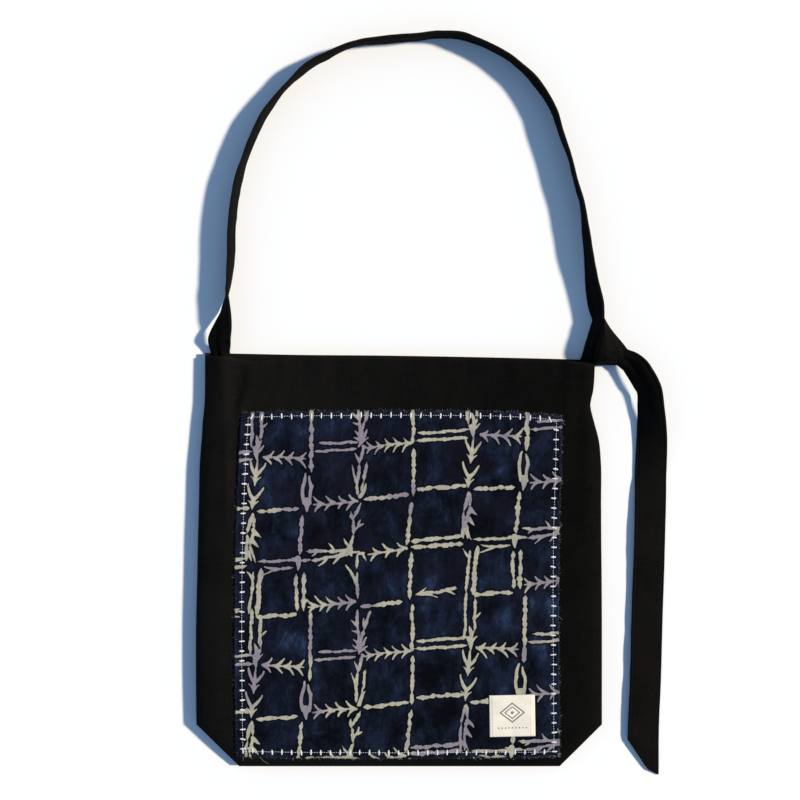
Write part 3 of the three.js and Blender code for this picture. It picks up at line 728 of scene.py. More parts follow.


# The print, charted in millimetres for one repeat: each stroke has its kind, the place
# where it starts and where it ends, right of and below the repeat's corner, and the number of
# its barbs or vees, whose barbs point back to the start where the number is negative
print_chart = [
    ("line", -4, -54, -5, -9, 0), ("line", 5, -48, 4.5, -15, 0), ("line", -5, -10, 0, -5, 0),
    ("line", 4.5, -16, 0, -4, 0), ("spur", 5, -28, 10.5, -33, 0), ("leaf", 1, -11, -1, -20, 0),
    ("spur", 1.5, -4, 7, -10, 0), ("drop", 0, -7, 0.4, 3.5, 0), ("vees", 0.5, 4, -4.5, 52, 2),
    ("line", -4, 56, -9, 76, 0), ("line", -9, 76, -10, 104, 0), ("line", -4, 56, -2, 72, 0),
    ("line", -2, 72, -6, 90, 0), ("leaf", -3, 73, 4, 80, 0), ("leaf", -4, 83, 2, 90, 0),
    ("spur", -6, 90, -1, 105, 0), ("spur", -8, 94, -5, 103, 0), ("line", -3, 114, -7, 156, 0),
    ("spur", -4, 121, -10, 114, 0), ("wide", 4, 110, 0, 158, 0), ("beads", 54.5, -52, 53.5, 17, 0),
    ("arm", 48.2, 17, 45.8, 30, 0), ("post", 45.8, 29, 47, 46, 0), ("arm", 52, 20, 54.4, 31, 0),
    ("post", 54.4, 30, 52.8, 46, 0), ("drop", 49.6, 44, 49.4, 55, 0),
    ("beads", 45.5, 57, 42, 98, 0), ("spur", 41, 103, 35, 100, 0), ("drop", 41, 101, 41, 112, 0),
    ("beads", 39, 115, 40, 153, 0), ("beads", 47, 113, 46, 153, 0),
    ("line", 100, -54, 102, -13, 0), ("spur", 101, -31, 95, -33, 0), ("spur", 102, -19, 96.5, -25, 0),
    ("spur", 102, -15, 95.5, -19, 0), ("line", 113, -53, 106, -33, 0), ("line", 106, -34, 102, -13, 0),
    ("spur", 103, -15, 107, -21, 0), ("spur", 106, -19, 109, -26, 0), ("spur", 102, -12, 110, -18, 0),
    ("spur", 100, -37, 94, -43, 0), ("spur", 107, -37, 106, -45, 0), ("spur", 102, -13, 101, -9, 0),
    ("line", 105.5, -10, 101, 8, 0), ("spur", 105, -10, 110, -7, 0), ("spur", 101, 6, 97, -3, 0),
    ("line", 101, 6, 98.5, 39, 0), ("spur", 98.5, 26, 94, 9, 0), ("line", 108, 5, 106, 25, 0),
    ("leaf", 102, 40, 108, 27, 0), ("spur", 103, 34, 105, 24, 0), ("line", 103, 46, 95, 62, 0),
    ("line", 93, 54, 94.5, 64, 0), ("line", 94.5, 62, 96, 78, 0), ("line", 96, 77, 91, 95, 0),
    ("spur", 95, 74, 101, 68, 0), ("spur", 100, 69, 102, 62, 0), ("spur", 100, 69, 105, 67, 0),
    ("spur", 91, 89, 86, 81, 0), ("arm", 88, 107, 99, 128, 0), ("line", 99, 96, 99, 111, 0),
    ("line", 99, 114, 99, 141, 0), ("line", 99, 97, 107, 95, 0), ("spur", 104, 96, 108, 103, 0),
    ("beads", 154, -60, 154, -12, 0), ("beads", 155, -9, 154, 41, 0), ("beads", 153, 44, 148, 88, 0),
    ("beads", 152, 93, 150, 141, 0), ("feather", 6, 1, 48, 3, 4), ("thin", 61, -12, 100, -13.5, 0),
    ("thin", 57, -4, 99, -7, 0), ("twig", 107, -8, 153, -13, -5), ("line", 158, -22.5, 209, -26, 0),
    ("line", 156, -15, 209, -18, 0), ("beads", 0, 55, 42, 52, 0), ("feather", 56, 48, 100, 44, -4),
    ("beads", 105, 43, 151, 38, 0), ("beads", 158, 33, 207, 29, 0), ("thin", 1, 104, 54, 102, 0),
    ("thin", 37, 109, 20, 111, 0), ("spur", 22, 111, 7, 117, 0), ("spur", 20, 111, 8, 109, 0),
    ("line", 48, 94, 92, 93, 0), ("spur", 60, 94, 54, 98, 0), ("spur", 76, 93, 71, 86, 0),
    ("spur", 88, 94, 79, 98, 0), ("drop", 92, 91, 93, 98, 0), ("spur", 92, 94, 102, 94, 0),
    ("line", 54, 103, 92, 96, 0), ("spur", 70, 101, 61, 108, 0), ("spur", 82, 99, 75, 106, 0),
    ("feather", 110, 97, 149, 91, -3), ("beads", 152, 84, 203, 79, 0), ("beads", 152, 90, 204, 86, 0),
    ("beads", -1, 158, 40, 156, 0), ("feather", 51, 149, 98, 143, -5), ("beads", 102, 148, 144, 143, 0),
    ("line", 156, 137, 198, 130, 0), ("spur", 158, 136, 167, 129.5, 0), ("spur", 161, 136, 178, 139, 0),
    ("spur", 182, 132, 196, 136.5, 0), ("spur", 186, 132, 196, 128.5, 0),
]
repeat_corner = np.array([-140.2, 103.4])
repeat_across = np.array([213.0, 22.0])
repeat_down = np.array([-1.0, -204.7])
repeat_skew = np.array([-2.0, -4.5])

# Where the strokes turn from cream to lilac, and where the dye is lighter or darker: places in
# millimetres with how far each reaches, and for the dye how much lighter it is
lilac_places = [
    (-145, 125, 28), (-87, 110, 24), (-45, 115, 32), (-92, 60, 22), (-68, 57, 18), (-46, 42, 16),
    (-98, 20, 22), (-118, 0, 26), (6, 60, 20), (96, 127, 20), (149, 134, 18), (143, 84, 18),
    (66, 52, 18), (140, 17, 20), (144, -22, 18), (-43, -38, 22), (-52, -84, 22), (-88, -80, 18),
    (-147, -115, 26), (-92, -137, 18), (144, -127, 18), (128, -92, 14), (70, -168, 20),
    (32, -184, 24), (145, -184, 24),
]
dye_places = [
    (-65, 127, 20, 1.0), (-98, 128, 18, 0.5), (-128, 68, 24, 0.8), (-107, -76, 13, 0.9),
    (139, -38, 24, 0.7), (98, -60, 14, 0.7), (97, -20, 22, 0.4), (-66, -30, 18, 0.4),
    (32, -40, 22, 0.4), (130, 118, 18, 0.4), (-20, -90, 16, 0.5), (139, -92, 14, 0.4),
    (40, -75, 12, 0.5), (36, -111, 14, -1.0), (42, -158, 12, -0.9), (-75, 25, 26, -0.6),
    (75, 35, 28, -0.6), (-20, 85, 22, -0.4), (-60, -150, 20, -0.3), (95, -165, 16, -0.5),
]


def stroke_through(stops, bow, count, radii):
    """A stroke between two stops: moved aside by half a sine, its radius blended along the given radii."""
    start, end = stops
    t = np.linspace(0, 1, count)
    along = end - start
    aside = np.array([-along[1], along[0]])
    points = start + t[:, None] * along + (bow * np.sin(math.pi * t))[:, None] * aside
    return points, np.interp(t, np.linspace(0, 1, len(radii)), radii)


def beaded_stroke(start, end, bead, radius, waist, draws):
    """A chain of long beads: wide between narrow waists, rippled, tapered at both ends, a little crooked."""
    length = np.linalg.norm(end - start)
    t = np.linspace(0, 1, max(int(length / 1.1), 5))
    beads = max(round(length / (bead * draws.uniform(0.85, 1.2))), 1)
    uneven = t + 0.08 * np.sin(2 * math.pi * t + draws.uniform(0, 6))
    uneven = (uneven - uneven[0]) / (uneven[-1] - uneven[0])
    swell = np.abs(np.sin(math.pi * uneven * beads)) ** 0.55
    ripple = 1 + 0.16 * np.sin(t * length / 0.8 + draws.uniform(0, 6)) + 0.1 * draws.normal(0, 1, len(t))
    taper = 0.3 + 0.7 * np.minimum(1, np.minimum(t, 1 - t) * length / 4.5)
    aside = np.array([-(end - start)[1], (end - start)[0]]) / length
    wander = 0.55 * np.sin(math.pi * uneven * beads + draws.uniform(0, 3)) * draws.uniform(0.4, 1.1)
    points = start + t[:, None] * (end - start) + wander[:, None] * aside
    return points, radius * (waist + (1 - waist) * swell) * ripple * taper


def barbed_strokes(start, end, barbs, length, radius, draws):
    """A stem with barbs on both sides in turn, each a curved taper from a thick root to a point."""
    way = 1 if barbs > 0 else -1
    along = (end - start) / np.linalg.norm(end - start)
    aside = np.array([-along[1], along[0]])
    nodes = [0.55, 0.9, 0.6] * abs(barbs)
    thin = 0.45 if way < 0 else 0.35
    stem = [radius * thin, *[radius * node for node in nodes], radius * 0.35]
    strokes = [stroke_through((start, end), draws.uniform(-0.03, 0.03), 3 * len(stem), stem)]
    for k in range(abs(barbs)):
        for side in (-1, 1):
            place = k + 0.5 - 0.3 * way + 0.13 * side * draws.uniform(0.3, 1.2)
            root = start + (end - start) * np.clip(place / abs(barbs), 0.02, 0.98)
            reach = length * draws.uniform(0.75, 1.2) * (1.1 if side * way < 0 else 0.9)
            tip = root + along * reach * 0.72 * way + aside * side * reach * draws.uniform(0.6, 0.75)
            radii = [radius, radius * 0.9, radius * 0.45]
            strokes.append(stroke_through((root, tip), -0.1 * side * way, 6, radii))
    return strokes


def vee_strokes(start, end, vees, draws):
    """Leaves stacked down a line: two long arms that meet in a body with two spurs and a pointed end."""
    along = (end - start) / vees
    down = along / np.linalg.norm(along)
    aside = np.array([-down[1], down[0]])
    strokes = []
    for k in range(vees):
        top = start + along * k
        meet = top + along * 0.62
        tip = top + along * 1.06
        for side in (-1, 1):
            lean = 7.8 + 0.6 * side + draws.uniform(-0.5, 0.5)
            head = top + along * (0.02 if side < 0 else 0.1) + aside * side * lean
            bend = (head + meet) / 2 + aside * side * 1.3
            strokes.append(stroke_through((head, bend), 0.05 * side, 4, [0.7, 1.3]))
            strokes.append(stroke_through((bend, meet), 0.05 * side, 4, [1.3, 1.7]))
            root = meet + along * 0.3
            point = meet + along * 0.06 + aside * side * 5.2
            strokes.append(stroke_through((root, point), 0.08 * side, 4, [1.3, 0.45]))
        strokes.append(stroke_through((meet, tip), 0.0, 6, [1.9, 1.35, 0.45]))
    strokes.append(stroke_through((start, start + along * 0.5), 0.0, 4, [0.7, 1.5]))
    return strokes


# Radii of the plain strokes from start to end, in millimetres
plain_radii = {
    "spur": [1.2, 1.05, 0.5],
    "leaf": [1.9, 1.6, 0.55],
    "drop": [3.0, 2.3, 0.6],
    "arm": [0.8, 1.5, 1.6],
    "post": [1.6, 1.5, 1.6],
}


def strokes_of(kind, start, end, barbs, draws):
    """The strokes of one row of the chart, each as points and radii in millimetres."""
    if kind == "beads":
        return [beaded_stroke(start, end, 11.0, draws.uniform(1.85, 2.2), 0.14, draws)]
    if kind == "wide":
        return [beaded_stroke(start, end, 17.0, 2.3, 0.6, draws)]
    if kind == "line":
        return [beaded_stroke(start, end, 13.0, draws.uniform(1.45, 1.7), 0.5, draws)]
    if kind == "thin":
        return [beaded_stroke(start, end, 13.0, draws.uniform(1.3, 1.5), 0.5, draws)]
    if kind == "feather":
        return barbed_strokes(start, end, barbs, 10.5, 1.4, draws)
    if kind == "twig":
        return barbed_strokes(start, end, barbs, 10.0, 1.15, draws)
    if kind == "vees":
        return vee_strokes(start, end, barbs, draws)
    return [stroke_through((start, end), draws.uniform(-0.08, 0.08), 7, plain_radii[kind])]


def print_strokes():
    """Every stroke of the print: the chart laid in repeats that step across and down."""
    draws = np.random.default_rng(5)
    laid = []
    for i in (-1, 0, 1):
        for j in (0, 1):
            corner = repeat_corner + i * repeat_across + j * repeat_down + i * j * repeat_skew
            for kind, right, down, right_end, down_end, barbs in print_chart:
                start = corner + np.array([right, -down]) + draws.uniform(-0.4, 0.4, 2)
                end = corner + np.array([right_end, -down_end]) + draws.uniform(-0.4, 0.4, 2)
                laid.extend(strokes_of(kind, start, end, barbs, draws))
    return laid


def distance_to_stroke(px, py, points, radii):
    """Least distance from each place to the round-ended, tapering pieces of a stroke."""
    a, b = points[:-1], points[1:]
    step = b - a
    squared = np.maximum((step**2).sum(1), 1e-9)
    t = ((px[:, None] - a[:, 0]) * step[:, 0] + (py[:, None] - a[:, 1]) * step[:, 1]) / squared
    t = np.clip(t, 0, 1)
    away = np.hypot(px[:, None] - a[:, 0] - t * step[:, 0], py[:, None] - a[:, 1] - t * step[:, 1])
    return (away - (radii[:-1] + t * (radii[1:] - radii[:-1]))).min(1)


def stroke_distance(x, y, strokes):
    """Distance to the nearest stroke, below zero inside it, worked out only near each stroke."""
    px = x / mm + 0.35 * soft_noise(x, y, 0.004, 0.004, 31)
    py = y / mm + 0.35 * soft_noise(x, y, 0.004, 0.004, 32)
    far = 4.0
    distance = np.full(px.shape, far)
    for points, radii in strokes:
        low, high = points.min(0) - far - 2, points.max(0) + far + 2
        near = np.flatnonzero((px > low[0]) & (px < high[0]) & (py > low[1]) & (py < high[1]))
        if len(near):
            distance[near] = np.minimum(distance[near], distance_to_stroke(px[near], py[near], points, radii))
    return distance * mm


def bells(x, y, places):
    """Sum of bells, each with its place and reach in millimetres and its height."""
    total = np.zeros_like(x)
    for place_x, place_y, reach, height in places:
        total += height * np.exp(-((x / mm - place_x) ** 2 + (y / mm - place_y) ** 2) / reach**2)
    return total


def add_patch(material):
    """The patch: a fine upper grid that carries the print, and a coarse underside joined at the rim."""
    coarse = 6
    columns = coarse * round(patch_width / patch_cell / coarse) + 1
    rows = coarse * round(patch_height / patch_cell / coarse) + 1
    across, up = np.meshgrid(np.linspace(0, 1, columns), np.linspace(0, 1, rows))
    x, y = patch_point(across, up)
    inset, run = patch_inset(across, up)
    frayed = 0.004
    waves = soft_noise(run, inset + x, 0.006, 0.05, 41) + 0.5 * soft_noise(run, x, 0.0022, 0.05, 42)
    ragged = 0.9 * mm * waves * (1 - smoothstep(0, frayed, inset))
    height = patch_top(across, up)
    x = x - ragged * np.sign(0.5 - across) * (np.minimum(across, 1 - across) * patch_width < frayed)
    y = y - ragged * np.sign(0.5 - up) * (np.minimum(up, 1 - up) * patch_height < frayed)
    top = np.stack([x, y, height], -1)
    under = top[::coarse, ::coarse].copy()
    under[:, :, 2] -= patch_cloth
    count = rows * columns
    fine_quads = quads_of_grid(rows, columns)
    under_quads = quads_of_grid(*under.shape[:2])[:, ::-1] + count
    fine_rim = rim_of_grid(rows, columns)
    under_rim = rim_of_grid(*under.shape[:2]) + count
    steps = np.arange(len(under_rim))[:, None] * coarse + np.arange(coarse + 1)[None, ::-1]
    upper_side = fine_rim[steps % len(fine_rim)]
    walls = np.concatenate([under_rim[:, None], np.roll(under_rim, -1)[:, None], upper_side], 1)
    points = np.concatenate([top.reshape(-1, 3), under.reshape(-1, 3)])
    flat = points * [1, 1, 0]
    fray = np.exp(-inset / 0.0012)
    facts = {
        "lay": flat,
        "wax": stroke_distance(flat[:, 0], flat[:, 1], print_strokes()),
        "lilac": bells(flat[:, 0], flat[:, 1], [(*place, 1.0) for place in lilac_places]),
        "dye": bells(flat[:, 0], flat[:, 1], dye_places),
        "fray": np.concatenate([fray.ravel(), fray[::coarse, ::coarse].ravel()]),
    }
    return make_piece("patch", points, [fine_quads, under_quads, walls], material, ["patch_panel"],
                      facts)


def patch_line(insets, rows):
    """Places along lines inside the patch's edges, with the way out: a count and a first share a side."""
    left, right = insets["left"] / patch_width, 1 - insets["right"] / patch_width
    foot, head = insets["foot"] / patch_height, 1 - insets["head"] / patch_height
    corners = [(left, foot), (right, foot), (right, head), (left, head)]
    places, outward = [], []
    for k, side in enumerate(("foot", "right", "head", "left")):
        (a, b), (c, d) = corners[k], corners[(k + 1) % 4]
        count, first = rows[side]
        t = (np.arange(count) + first) / count
        places.append(np.stack([a + (c - a) * t, b + (d - b) * t], -1))
        way = [(0, -1), (1, 0), (0, 1), (-1, 0)][k]
        outward.append(np.tile(way, (count, 1)))
    return np.concatenate(places), np.concatenate(outward).astype(float)


def on_patch(across, up, lift):
    """Points of the bag for places of the patch, at a lift above its cloth."""
    x, y = patch_point(across, up)
    outside = (across < 0) | (across > 1) | (up < 0) | (up > 1)
    height = np.where(outside, front_height(x, y), patch_top(across, up))
    return np.stack([x, y, height + lift], -1)


def add_bars(material):
    """White bars across the stitch line: short thick threads whose ends dip into the cloth."""
    draws = np.random.default_rng(51)
    places, outward = patch_line(stitch_insets, stitch_rows)
    many = len(places)
    t = np.linspace(-0.5, 0.5, 9)[None, :, None]
    length = bar_length * draws.uniform(0.9, 1.1, (many, 1, 1))
    lean = draws.normal(0, 0.06, (many, 1, 1))
    head_end = sum(stitch_rows[side][0] for side in ("foot", "right", "head"))
    lean[head_end - 1], lean[head_end - stitch_rows["head"][0]] = -0.5, 0.5
    along = np.stack([-outward[:, 1], outward[:, 0]], -1)
    shift = draws.normal(0, 0.0003, (many, 1, 1))
    step = outward[:, None] * (t * length + shift) + along[:, None] * t * length * lean
    across = places[:, None, 0] + step[:, :, 0] / patch_width
    up = places[:, None, 1] + step[:, :, 1] / patch_height
    arch = 0.45 * mm * (1 - (2 * t[..., 0]) ** 6) - 0.15 * mm
    paths = on_patch(across, up, arch)
    swell = np.sqrt(np.clip(1 - (2 * t[..., 0]) ** 8, 0.1, 1)) * np.ones((many, 1))
    size = draws.uniform(0.9, 1.12, (many, 1)) * swell
    points, faces = closed_tubes(thread_rings(paths, 0.74 * mm * size, 0.48 * mm * size, 8))
    tone = np.repeat(draws.uniform(0, 0.3, many), 9 * 8)
    return make_piece("edge_stitches", points, faces, material, None, {"tone": tone})


def add_running_thread(material):
    """The thin thread that joins the bars: four short stitches from each bar to the next."""
    draws = np.random.default_rng(52)
    rows = {side: (4 * row[0], 0.5) for side, row in stitch_rows.items()}
    places, outward = patch_line(stitch_insets, rows)
    many = len(places)
    t = np.linspace(-0.5, 0.5, 5)[None, :, None]
    along = np.stack([-outward[:, 1], outward[:, 0]], -1)
    length = 1.75 * mm * draws.uniform(0.85, 1.1, (many, 1, 1))
    step = along[:, None] * t * length + outward[:, None] * draws.normal(0, 0.0001, (many, 1, 1))
    across = places[:, None, 0] + step[:, :, 0] / patch_width
    up = places[:, None, 1] + step[:, :, 1] / patch_height
    arch = 0.3 * mm * (1 - (2 * t[..., 0]) ** 4) - 0.05 * mm
    paths = on_patch(across, up, arch)
    size = 0.27 * mm * np.sqrt(np.clip(1 - (2 * t[..., 0]) ** 4, 0.1, 1)) * np.ones((many, 1))
    points, faces = closed_tubes(thread_rings(paths, size, size * 0.8, 6))
    tone = np.repeat(draws.uniform(0.15, 0.6, many), 5 * 6)
    return make_piece("running_thread", points, faces, material, None, {"tone": tone})


def add_fray(material, strokes):
    """Loose threads of the raw edge: short curved fibres that leave the edge and settle on the canvas."""
    root_inset, root_depth = 0.0006, 0.0012
    draws = np.random.default_rng(53)
    rows = {"foot": (760, 0.5), "right": (780, 0.5), "head": (760, 0.5), "left": (780, 0.5)}
    places, outward = patch_line(dict.fromkeys(stitch_insets, root_inset), rows)
    many = len(places)
    t = np.linspace(0, 1, 6)[None, :, None]
    reach = 0.0011 + draws.gamma(1.6, 0.00055, (many, 1, 1))
    stray = draws.random((many, 1, 1)) < 0.006
    reach = np.where(stray, reach * 2.2, reach)
    along = np.stack([-outward[:, 1], outward[:, 0]], -1)
    slide = draws.normal(0, 0.0006, (many, 1, 1))
    lean = draws.normal(0, 0.55, (many, 1, 1))
    curl = draws.normal(0, 0.5, (many, 1, 1))
    slip = slide + reach * (lean * t + curl * t * t)
    step = outward[:, None] * (t * reach - root_depth) + along[:, None] * slip
    across = places[:, None, 0] + step[:, :, 0] / patch_width
    up = places[:, None, 1] + step[:, :, 1] / patch_height
    x, y = patch_point(across, up)
    start = (patch_lift + patch_cloth) * draws.uniform(0.3, 1.3, (many, 1))
    hang = draws.uniform(0.0002, 0.0009, (many, 1))
    height = front_height(x, y) + start * (1 - t[..., 0]) + hang * t[..., 0]
    paths = np.stack([x, y, height], -1)
    size = draws.uniform(0.09, 0.16, (many, 1)) * mm * (1 - 0.5 * t[..., 0])
    wax = stroke_distance(x[:, 0], y[:, 0], strokes)
    pale = (wax < 0.0006) | (draws.random(many) < 0.3)
    tone = np.where(pale, draws.uniform(0.0, 0.4, many), draws.uniform(0.6, 1.0, many))
    points, faces = closed_tubes(thread_rings(paths, size, size, 4))
    facts = {"tone": np.repeat(tone, 6 * 4)}
    return make_piece("raw_edge_threads", points, faces, material, None, facts)


# The label

def label_ink(across, up):
    """Distance to the plain printed figure: two nested lozenges, a dot in them and a row of dots below."""
    x = (across - 0.5) * label_width
    y = (up - 0.58) * label_height
    half_line = 0.00055
    corners = np.abs(x) * 0.8 + np.abs(y)
    lozenge = np.abs(corners - 0.0094) / 1.28 - half_line
    small = np.abs(corners - 0.0058) / 1.28 - half_line * 0.8
    dot = np.hypot(x, y) - 0.0014
    spot = np.hypot((x + 0.0017) % 0.0034 - 0.0017, y + 0.0152) - 0.0007
    row = np.maximum(spot, np.abs(x) - 0.0148)
    return np.minimum(np.minimum(lozenge, small), np.minimum(dot, row))


def add_label(material):
    """The label: a closed sheet turned a little, which follows the patch and softens at its edges."""
    columns, rows = 91, 87
    across, up = np.meshgrid(np.linspace(0, 1, columns), np.linspace(0, 1, rows))
    dx, dy = (across - 0.5) * label_width, (up - 0.5) * label_height
    inset = np.minimum(np.minimum(across, 1 - across) * label_width, np.minimum(up, 1 - up) * label_height)
    centre_x = patch_left + patch_width - label_inset_side - label_width / 2
    centre_y = patch_foot + label_inset_foot + label_height / 2
    x = centre_x + dx * math.cos(label_turn) - dy * math.sin(label_turn)
    y = centre_y + dx * math.sin(label_turn) + dy * math.cos(label_turn)
    ground = front_height(x, y) + patch_lift + patch_cloth
    soft = 0.25 * mm * soft_noise(x, y, 0.012, 0.012, 61) + 0.35 * mm * smoothstep(0, 0.004, inset)
    from_side = np.minimum(across, 1 - across) * label_width
    soft = soft - 0.3 * mm * np.exp(-(((from_side - 0.0019) / 0.0006) ** 2))
    edge = label_cloth * (0.35 + 0.65 * smoothstep(0, 0.0012, inset))
    lower = ground + 0.35 * mm + 0 * soft
    top = np.stack([x, y, lower + edge + soft + 0.2 * mm], -1)
    under = np.stack([x, y, lower], -1)
    points, faces = closed_grid(top, under)
    lay = np.stack([dx, dy, 0 * dx], -1).reshape(-1, 3)
    ink = label_ink(across, up).ravel()
    facts = {"lay": np.concatenate([lay, lay]), "ink": np.concatenate([ink, ink + 1])}
    return make_piece("plain_label", points, faces, material, ["label"], facts)


# The band

def column_table(names, rows):
    """A table of rows as arrays by column name."""
    return {name: np.array([row[i] for row in rows], float) for i, name in enumerate(names)}


# Stops of the arch, the tab and the tail, with the columns of the bag's own drawing. The place in
# plan comes first, as shares of a span across and up or down, and how much of the sewn depth is
# reached. The tilt is from flat, in degrees, with the right edge high where it is negative. The
# cup and the breadth are shares of the band's breadth. Raised is the lowest point's height, as a
# share of the back's cloth with its gap, or for the tail of the knot's thickness. The tail's last
# column says how much of its slanting cut is reached.
arch = column_table(
    ("across", "up", "sewn", "tilt", "cup", "wide", "raised"),
    [
        (0.027, 0, 1, -9, 0, 1, 1), (0.014, 0, 0.5, -13, 0.08, 0.8, 1), (0.005, 0, 0.06, -21, 0.12, 0.64, 1),
        (0.004, 0.022, 0, -26, 0.12, 0.76, 3.2), (0.005, 0.042, 0, -34, 0.1, 0.88, 5.4),
        (0.0135, 0.08, 0, -49, 0.06, 0.93, 4.2), (0.021, 0.118, 0, -66, 0.04, 1, 2.8),
        (0.0235, 0.156, 0, -76, 0.02, 1, 1.4), (0.025, 0.194, 0, -87, 0, 1, 0.5),
        (0.029, 0.232, 0, -91, 0, 1, 0), (0.034, 0.295, 0, -94, 0, 1, 0), (0.036, 0.39, 0, -95, 0, 1, 0),
        (0.043, 0.469, 0, -95, 0, 1, 0), (0.053, 0.536, 0, -94, 0, 1, 0), (0.071, 0.612, 0, -93, 0, 1, 0),
        (0.096, 0.686, 0, -92, 0, 1, 0), (0.129, 0.761, 0, -91, 0, 1, 0), (0.163, 0.816, 0, -88, 0, 1, 0),
        (0.203, 0.866, 0, -88, 0, 1, 0), (0.242, 0.906, 0, -89, 0, 1, 0), (0.281, 0.93, 0, -89, 0, 1, 0),
        (0.36, 0.971, 0, -86, 0, 1, 0), (0.44, 0.984, 0, -90, 0, 1, 0), (0.517, 0.992, 0, -89, 0, 1, 0),
        (0.576, 1, 0, -89, 0, 1, 0), (0.636, 0.995, 0, -89, 0, 1, 0), (0.675, 0.978, 0, -87, 0, 1, 0),
        (0.753, 0.929, 0, -88, 0, 1, 0), (0.793, 0.887, 0, -89, 0, 1, 0), (0.834, 0.83, 0, -92, 0, 1, 0),
        (0.874, 0.75, 0, -90, 0, 1, 0), (0.9, 0.651, 0, -88, 0, 1, 0), (0.922, 0.566, 0, -87, 0, 1, 0),
        (0.938, 0.481, 0, -87, 0, 1, 0), (0.955, 0.396, 0, -88, 0, 1, 0), (0.963, 0.311, 0, -94, 0, 1, 0),
        (0.971, 0.226, 0, -98, 0, 1, 0), (0.979, 0.141, 0, -105, 0, 0.95, 0),
        (0.99, 0.057, 0, -113, 0, 0.97, 0), (0.996, 0, 0, -106, 0, 0.87, 0),
    ],
)
tab = column_table(
    ("across", "down", "sewn", "tilt", "cup", "wide", "raised"),
    [
        (0.11, 0.2, 0, -105, -0.01, 0.86, 0), (0.16, 0.42, 0, -109, -0.02, 0.8, 0),
        (0.22, 0.7, 0, -120, -0.04, 0.66, 0), (0.31, 0.97, 0, -136, -0.08, 0.5, 0.6),
        (0.4, 1, 0.27, -156, -0.1, 0.44, 1), (0.58, 1, 0.6, -164, -0.07, 0.5, 1),
        (0.75, 1, 1, -170, -0.02, 0.6, 1),
    ],
)
tail = column_table(
    ("out", "down", "tilt", "cup", "wide", "raised", "slant"),
    [
        (-0.3, -0.006, 20, 0.05, 0.55, 0.42, 0), (-0.03, 0.004, 24, 0.05, 0.66, 0.42, 0),
        (0.19, 0.0127, 31, 0.05, 0.77, 0.4, 0), (0.4, 0.0285, 39, 0.05, 0.92, 0.38, 0),
        (0.66, 0.0566, 44, 0.05, 0.99, 0.35, 0), (0.845, 0.08, 46, 0.05, 0.98, 0.3, 0),
        (0.92, 0.124, 42, 0.04, 1, 0.2, 0), (0.97, 0.175, 31, 0.04, 1, 0.1, 0),
        (0.99, 0.226, 16, 0.03, 0.98, 0.03, 0), (0.98, 0.285, 1, 0.03, 0.99, 0, 0),
        (0.97, 0.345, -7, 0.03, 1, 0, 0), (0.915, 0.49, -8, 0.02, 1, 0, 0), (0.84, 0.635, -8, 0.02, 1, 0, 0),
        (0.78, 0.78, -8, 0.01, 1, 0, 0), (0.7, 0.9, -7, 0, 1, 0, 0), (0.69, 0.972, -6, 0, 1, 0, 1),
    ],
)

inside_back = canvas + gap
left_foot = -half_width + strap_inset
knot_x = half_width - knot_inset
knot_top = mouth_y + knot_height


def strap_stops():
    """Stops of the strap and the tab as one band: the arch, the knot's top and down into the mouth."""
    crown_y = mouth_y + loop_height
    crown_row = int(np.argmax(arch["up"]))
    foot = np.where(np.arange(len(arch["up"])) < crown_row, mouth_y, knot_top)
    x = left_foot + (knot_x - left_foot) * arch["across"]
    y = foot + arch["up"] * (crown_y - foot) - arch["sewn"] * sewn_depth
    tab_x = knot_x - tab_reach * tab["across"]
    tab_y = knot_top - tab["down"] * knot_height - tab["sewn"] * sewn_depth
    joined = {key: np.concatenate([arch[key], tab[key]]) for key in ("tilt", "cup", "wide")}
    low = np.concatenate([arch["raised"], tab["raised"]]) * inside_back
    plan = np.stack([np.concatenate([x, tab_x]), np.concatenate([y, tab_y])], -1)
    return plan, {**joined, "low": low, "slant": 0 * low}


def tail_stops():
    """Stops of the tail, from inside the knot to its slanted end."""
    start_x = knot_x + knot_width - tail_tuck
    start_y = knot_top - tail_exit * knot_length
    plan = np.stack([start_x + tail["out"] * tail_sweep, start_y - tail["down"] * tail_length], -1)
    low = tail["raised"] * knot_thickness
    return plan, {"tilt": tail["tilt"], "cup": tail["cup"], "wide": tail["wide"], "low": low,
                  "slant": tail["slant"] * tail_slant}


def curve_through(points, steps):
    """Smooth plan curve through the stops: its slope at each stop follows the stops on both sides."""
    ends = np.concatenate([[2 * points[0] - points[1]], points, [2 * points[-1] - points[-2]]])
    a, b, c, d = ends[:-3], ends[1:-2], ends[2:-1], ends[3:]
    spans = [np.sqrt(np.linalg.norm(q - p, axis=1))[:, None] for p, q in ((a, b), (b, c), (c, d))]
    leave = (b - a) / spans[0] - (c - a) / (spans[0] + spans[1]) + (c - b) / spans[1]
    meet = (c - b) / spans[1] - (d - b) / (spans[1] + spans[2]) + (d - c) / spans[2]
    leave, meet = leave * spans[1], meet * spans[1]
    t = (np.arange(steps) / steps)[None, :, None]
    b, c, leave, meet = b[:, None], c[:, None], leave[:, None], meet[:, None]
    start = (1 + 2 * t) * (1 - t) ** 2 * b + t * (1 - t) ** 2 * leave
    end = t * t * (3 - 2 * t) * c + t * t * (t - 1) * meet
    return np.concatenate([(start + end).reshape(-1, 2), points[-1:]])


